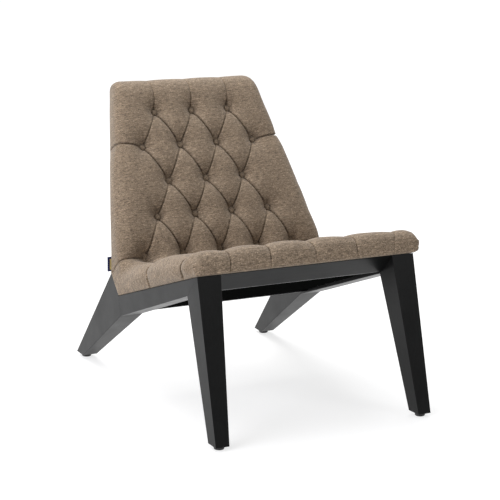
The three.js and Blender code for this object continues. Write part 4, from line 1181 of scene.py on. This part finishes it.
def rear_panel():
    ns, nx = 121, 121
    s0, s1 = -18.5, 447.0
    verts, uv = [], []
    s_list = np.linspace(s0, s1, ns)
    for s in s_list:
        hw = half_width(s) - 1.6
        corner = max(0.0, s - (s1 - 16))
        hw -= 16 - math.sqrt(max(0.0, 16**2 - corner**2)) if corner > 0 else 0
        for k in range(nx):
            q = -1 + 2 * k / (nx - 1)
            x = hw * q
            d = min(hw - abs(x), s - s0, s1 - s)
            puff = 1.3 * (1 - math.exp(-max(d, 0) / 26))
            lift = 0.5 * math.sin(x / 61.0 + 1.1) * math.sin(s / 83.0) * (1 - math.exp(-max(d, 0) / 40))
            hem = 0.9 * math.exp(-((d - 1.5) / 3.2) ** 2)
            # puckers of the hand stitches
            p = s if (hw - abs(x)) < (min(s - s0, s1 - s)) else x
            pucker = 0.22 * math.cos(2 * math.pi * p / 9.0) * math.exp(-((d - 4.0) / 4.5) ** 2)
            n = -60.35 - puff - lift - hem * 0.35 + pucker
            verts.append(np.r_[x, backrest(s, n)])
            uv.append((x * MM, s * MM))
    verts = np.array(verts)
    idx = np.arange(ns * nx).reshape(ns, nx)
    faces = np.stack([idx[:-1, :-1], idx[1:, :-1], idx[1:, 1:], idx[:-1, 1:]], -1).reshape(-1, 4).tolist()
    ob = mesh_object("rear_panel", verts, faces)
    set_uv(ob, uv)
    sol = ob.modifiers.new("thickness", "SOLIDIFY")
    sol.thickness = 0.0011
    sol.offset = -1
    dress(ob, FABRIC)
    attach(ob, "root")
    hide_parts("back_outer_cover")
    return ob


rear = rear_panel()


# ---------------------------------------------------------------- cloth under the seat
def dust_cover():
    """A black lining cloth, stapled along its edges to the rails and the battens, and sagging a little between them.
    Its colour, set far darker than black cloth and with no reflection at all, also paints in the deep shade under the
    seat.
    """
    t0, t1, half = 34.9, 397.1, 224.6
    nt_, nx = 93, 113
    verts, uv = [], []
    for i in range(nt_):
        t = t0 + (t1 - t0) * i / (nt_ - 1)
        h0 = -27 + (t - 398) * 13 / (398 - 34) - 0.35
        for k in range(nx):
            x = -half + 2 * half * k / (nx - 1)
            a, b = (t - t0) / (t1 - t0), (x + half) / (2 * half)
            d = min(t - t0, t1 - t, half - abs(x))
            sag = 5.5 * (4 * a * (1 - a)) * (4 * b * (1 - b))
            # drag lines from the staples, every 45 mm, and the turned-in hem
            p = x if min(t - t0, t1 - t) < half - abs(x) else t
            drag = 0.7 * math.cos(2 * math.pi * p / 45.0) * math.exp(-d / 22.0) * (1 - math.exp(-d / 4.0))
            hem = 0.5 * math.exp(-(((d - 13.0) / 1.6) ** 2))
            wave = 0.5 * math.sin(x / 37.0 + 0.8) * math.sin(t / 53.0 + 0.3) * (1 - math.exp(-d / 30.0))
            verts.append(np.r_[x, seat(t, h0 - sag - drag - hem - wave)])
            uv.append((x * MM, t * MM))
    idx = np.arange(nt_ * nx).reshape(nt_, nx)
    faces = np.stack([idx[:-1, :-1], idx[:-1, 1:], idx[1:, 1:], idx[1:, :-1]], -1).reshape(-1, 4).tolist()
    ob = mesh_object("seat_lining", np.array(verts), faces)
    set_uv(ob, uv)
    sol = ob.modifiers.new("thickness", "SOLIDIFY")
    sol.thickness = 0.0008
    sol.offset = 0
    dress(ob, LINING_BLACK_AND_SHADE)
    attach(ob, "root")
    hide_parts("dust_cover")
    return ob


lining = dust_cover()


def staples():
    """The lining's staples, one wire bridge each, along its four edges."""
    verts, faces = [], []
    places = [(x, t, 0) for x in np.arange(-202.5, 203, 45.0) for t in (41.0, 391.0)]
    places += [(sx * 218.0, t, 1) for sx in (-1, 1) for t in np.arange(64.0, 380, 45.0)]
    for x, t, turn in places:
        h = -27 + (t - 398) * 13 / (398 - 34) - 1.1
        a, b = (5.0, 0.55) if turn == 0 else (0.55, 5.0)
        base = len(verts)
        for dh in (0.0, -0.55):
            for sx, st in ((-1, -1), (1, -1), (1, 1), (-1, 1)):
                verts.append(np.r_[x + sx * a, seat(t + st * b, h + dh)])
        q = [(0, 1, 2, 3), (7, 6, 5, 4), (0, 4, 5, 1), (1, 5, 6, 2), (2, 6, 7, 3), (3, 7, 4, 0)]
        faces += [tuple(base + k for k in f) for f in q]
    ob = mesh_object("lining_staples", np.array(verts), faces, smooth=False)
    dress(ob, STAPLE)
    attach(ob, "root")
    return ob


staples()


# ---------------------------------------------------------------- woven tab in the rear seam
def tab():
    """A folded ribbon: two layers with the fold outermost, leaning with the seam."""
    loop = [(1.4, 0.62), (-3.6, 0.64), (-6.0, 0.66), (-9.0, 0.72), (-11.4, 0.70), (-12.3, 0.52), (-12.75, 0.0), (-12.3, -0.52), (-11.4, -0.70), (-9.0, -0.62), (-6.0, -0.55), (-3.6, -0.5), (1.4, -0.5)]
    inner = [(x + (0.0 if abs(n) > 0.5 and x > -11 else 0.42 if x < -12.5 else 0.2), n * 0.42) for x, n in loop]
    ns = 40
    verts, uv, faces = [], [], []
    m = len(loop)
    for i in range(ns):
        s = -17.0 + 37.0 * i / (ns - 1)
        wave = 0.25 * math.sin(s / 6.0)
        for line in (loop, inner):
            for x, n in line:
                out = max(0.0, (-x - 3.6) / 9.0)
                verts.append(np.r_[-half_width(s) + 0.9 * x, backrest(s, -59.9 + n + wave * out)])
                uv.append(((x + (13 if n > 0 else -13)) * MM, s * MM))
    w = 2 * m
    for i in range(ns - 1):
        for k in range(m - 1):
            a = i * w + k
            faces.append((a, a + 1, a + 1 + w, a + w))
            b = a + m
            faces.append((b, b + w, b + 1 + w, b + 1))
        for k in (0, m - 1):
            a, b = i * w + k, i * w + m + k
            faces.append((a, a + w, b + w, b) if k == 0 else (a, b, b + w, a + w))
    for i in (0, ns - 1):
        for k in range(m - 1):
            a, b = i * w + k, i * w + m + k
            faces.append((a, b, b + 1, a + 1) if i == 0 else (a, a + 1, b + 1, b))
    ob = mesh_object("woven_tab", np.array(verts), faces)
    ob.data.set_sharp_from_angle(angle=math.radians(50))
    set_uv(ob, uv)
    dress(ob, TAB, TAB_EDGE)
    for p in ob.data.polygons:
        c = np.mean([verts[k] for k in p.vertices], axis=0)
        s_mid = (c[1] - BASE[0]) * SB + (c[2] - BASE[1]) * CB
        across = -c[0] - half_width(s_mid)
        p.material_index = 1 if across < 5.0 and -13.0 < s_mid < 14.6 else 0
    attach(ob, "root")
    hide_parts("seam_tab")
    return ob


woven = tab()


# ---------------------------------------------------------------- glides
def glide(name):
    low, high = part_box(name)
    cx, cy = (low[0] + high[0]) / 2 / MM, (low[1] + high[1]) / 2 / MM
    profile = [(0, 0), (9.6, 0), (10.8, 0.25), (11.6, 0.9), (12.0, 1.9), (12.0, 6.8), (11.8, 7.6), (11.2, 8.3), (10.6, 8.7), (2.2, 8.7), (2.0, 9.1), (2.0, 20.4), (1.2, 21.8), (0, 22.5)]
    v, f = lathe(profile, 48)
    v = v + np.array([cx, cy, 0.0])
    ob = mesh_object(name.replace("glide", "foot_glide"), v, f)
    ob.data.set_sharp_from_angle(angle=math.radians(40))
    dress(ob, PLASTIC)
    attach(ob, "root")
    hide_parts(name)
    return ob


for n in ("glide_front_left", "glide_front_right", "glide_rear_left", "glide_rear_right"):
    glide(n)


# ---------------------------------------------------------------- floor and light
floor_mesh = bpy.data.meshes.new("floor")
floor_mesh.from_pydata([(-40, -40, 0), (40, -40, 0), (40, 40, 0), (-40, 40, 0)], [], [(0, 1, 2, 3)])
floor = bpy.data.objects.new("floor", floor_mesh)
scene.collection.objects.link(floor)
fm, fnt, fb = material("floor_white")
fb.inputs["Base Color"].default_value = (0.34, 0.34, 0.34, 1)
fb.inputs["Roughness"].default_value = 0.8
fb.inputs["Specular IOR Level"].default_value = 0.1
fb.inputs["Emission Color"].default_value = (1, 1, 1, 1)
_tc = fnt.nodes.new("ShaderNodeTexCoord")
_len = fnt.nodes.new("ShaderNodeVectorMath")
_len.operation = "LENGTH"
fnt.links.new(_tc.outputs["Object"], _len.inputs[0])
_far = fnt.nodes.new("ShaderNodeMapRange")
_far.inputs["From Min"].default_value, _far.inputs["From Max"].default_value = 1.2, 3.4
_far.inputs["To Min"].default_value, _far.inputs["To Max"].default_value = 0.72, 0.95
fnt.links.new(_len.outputs["Value"], _far.inputs["Value"])
fnt.links.new(_far.outputs["Result"], fb.inputs["Emission Strength"])
dress(floor, fm)
floor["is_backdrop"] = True

world = bpy.data.worlds.new("world")
scene.world = world
world.use_nodes = True
world.node_tree.nodes["Background"].inputs["Color"].default_value = (1, 1, 1, 1)
world.node_tree.nodes["Background"].inputs["Strength"].default_value = 0.275


def area(name, place, target, size, power, colour=(1, 1, 1)):
    d = bpy.data.lights.new(name, "AREA")
    d.shape = "RECTANGLE"
    d.size, d.size_y = size
    d.energy = power
    d.color = colour
    o = bpy.data.objects.new(name, d)
    scene.collection.objects.link(o)
    o.location = place
    o.rotation_mode = "QUATERNION"
    o.rotation_quaternion = (Vector(place) - Vector(target)).to_track_quat("Z", "Y")
    return o


area("key", (-3.6, -0.9, 1.9), (0, 0, 0.4), (2.4, 2.4), 118, (0.985, 0.99, 1.035))
area("top", (-0.8, 0.7, 3.3), (0, 0, 0.4), (2.2, 2.2), 76)
area("fill", (2.7, -4.0, 2.7), (0, 0, 0.4), (2.0, 1.4), 49)
area("rear", (0.6, 1.45, 3.2), (0, -0.1, 0.4), (2.0, 1.6), 84)

scene.view_settings.view_transform = "Standard"

low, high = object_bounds()
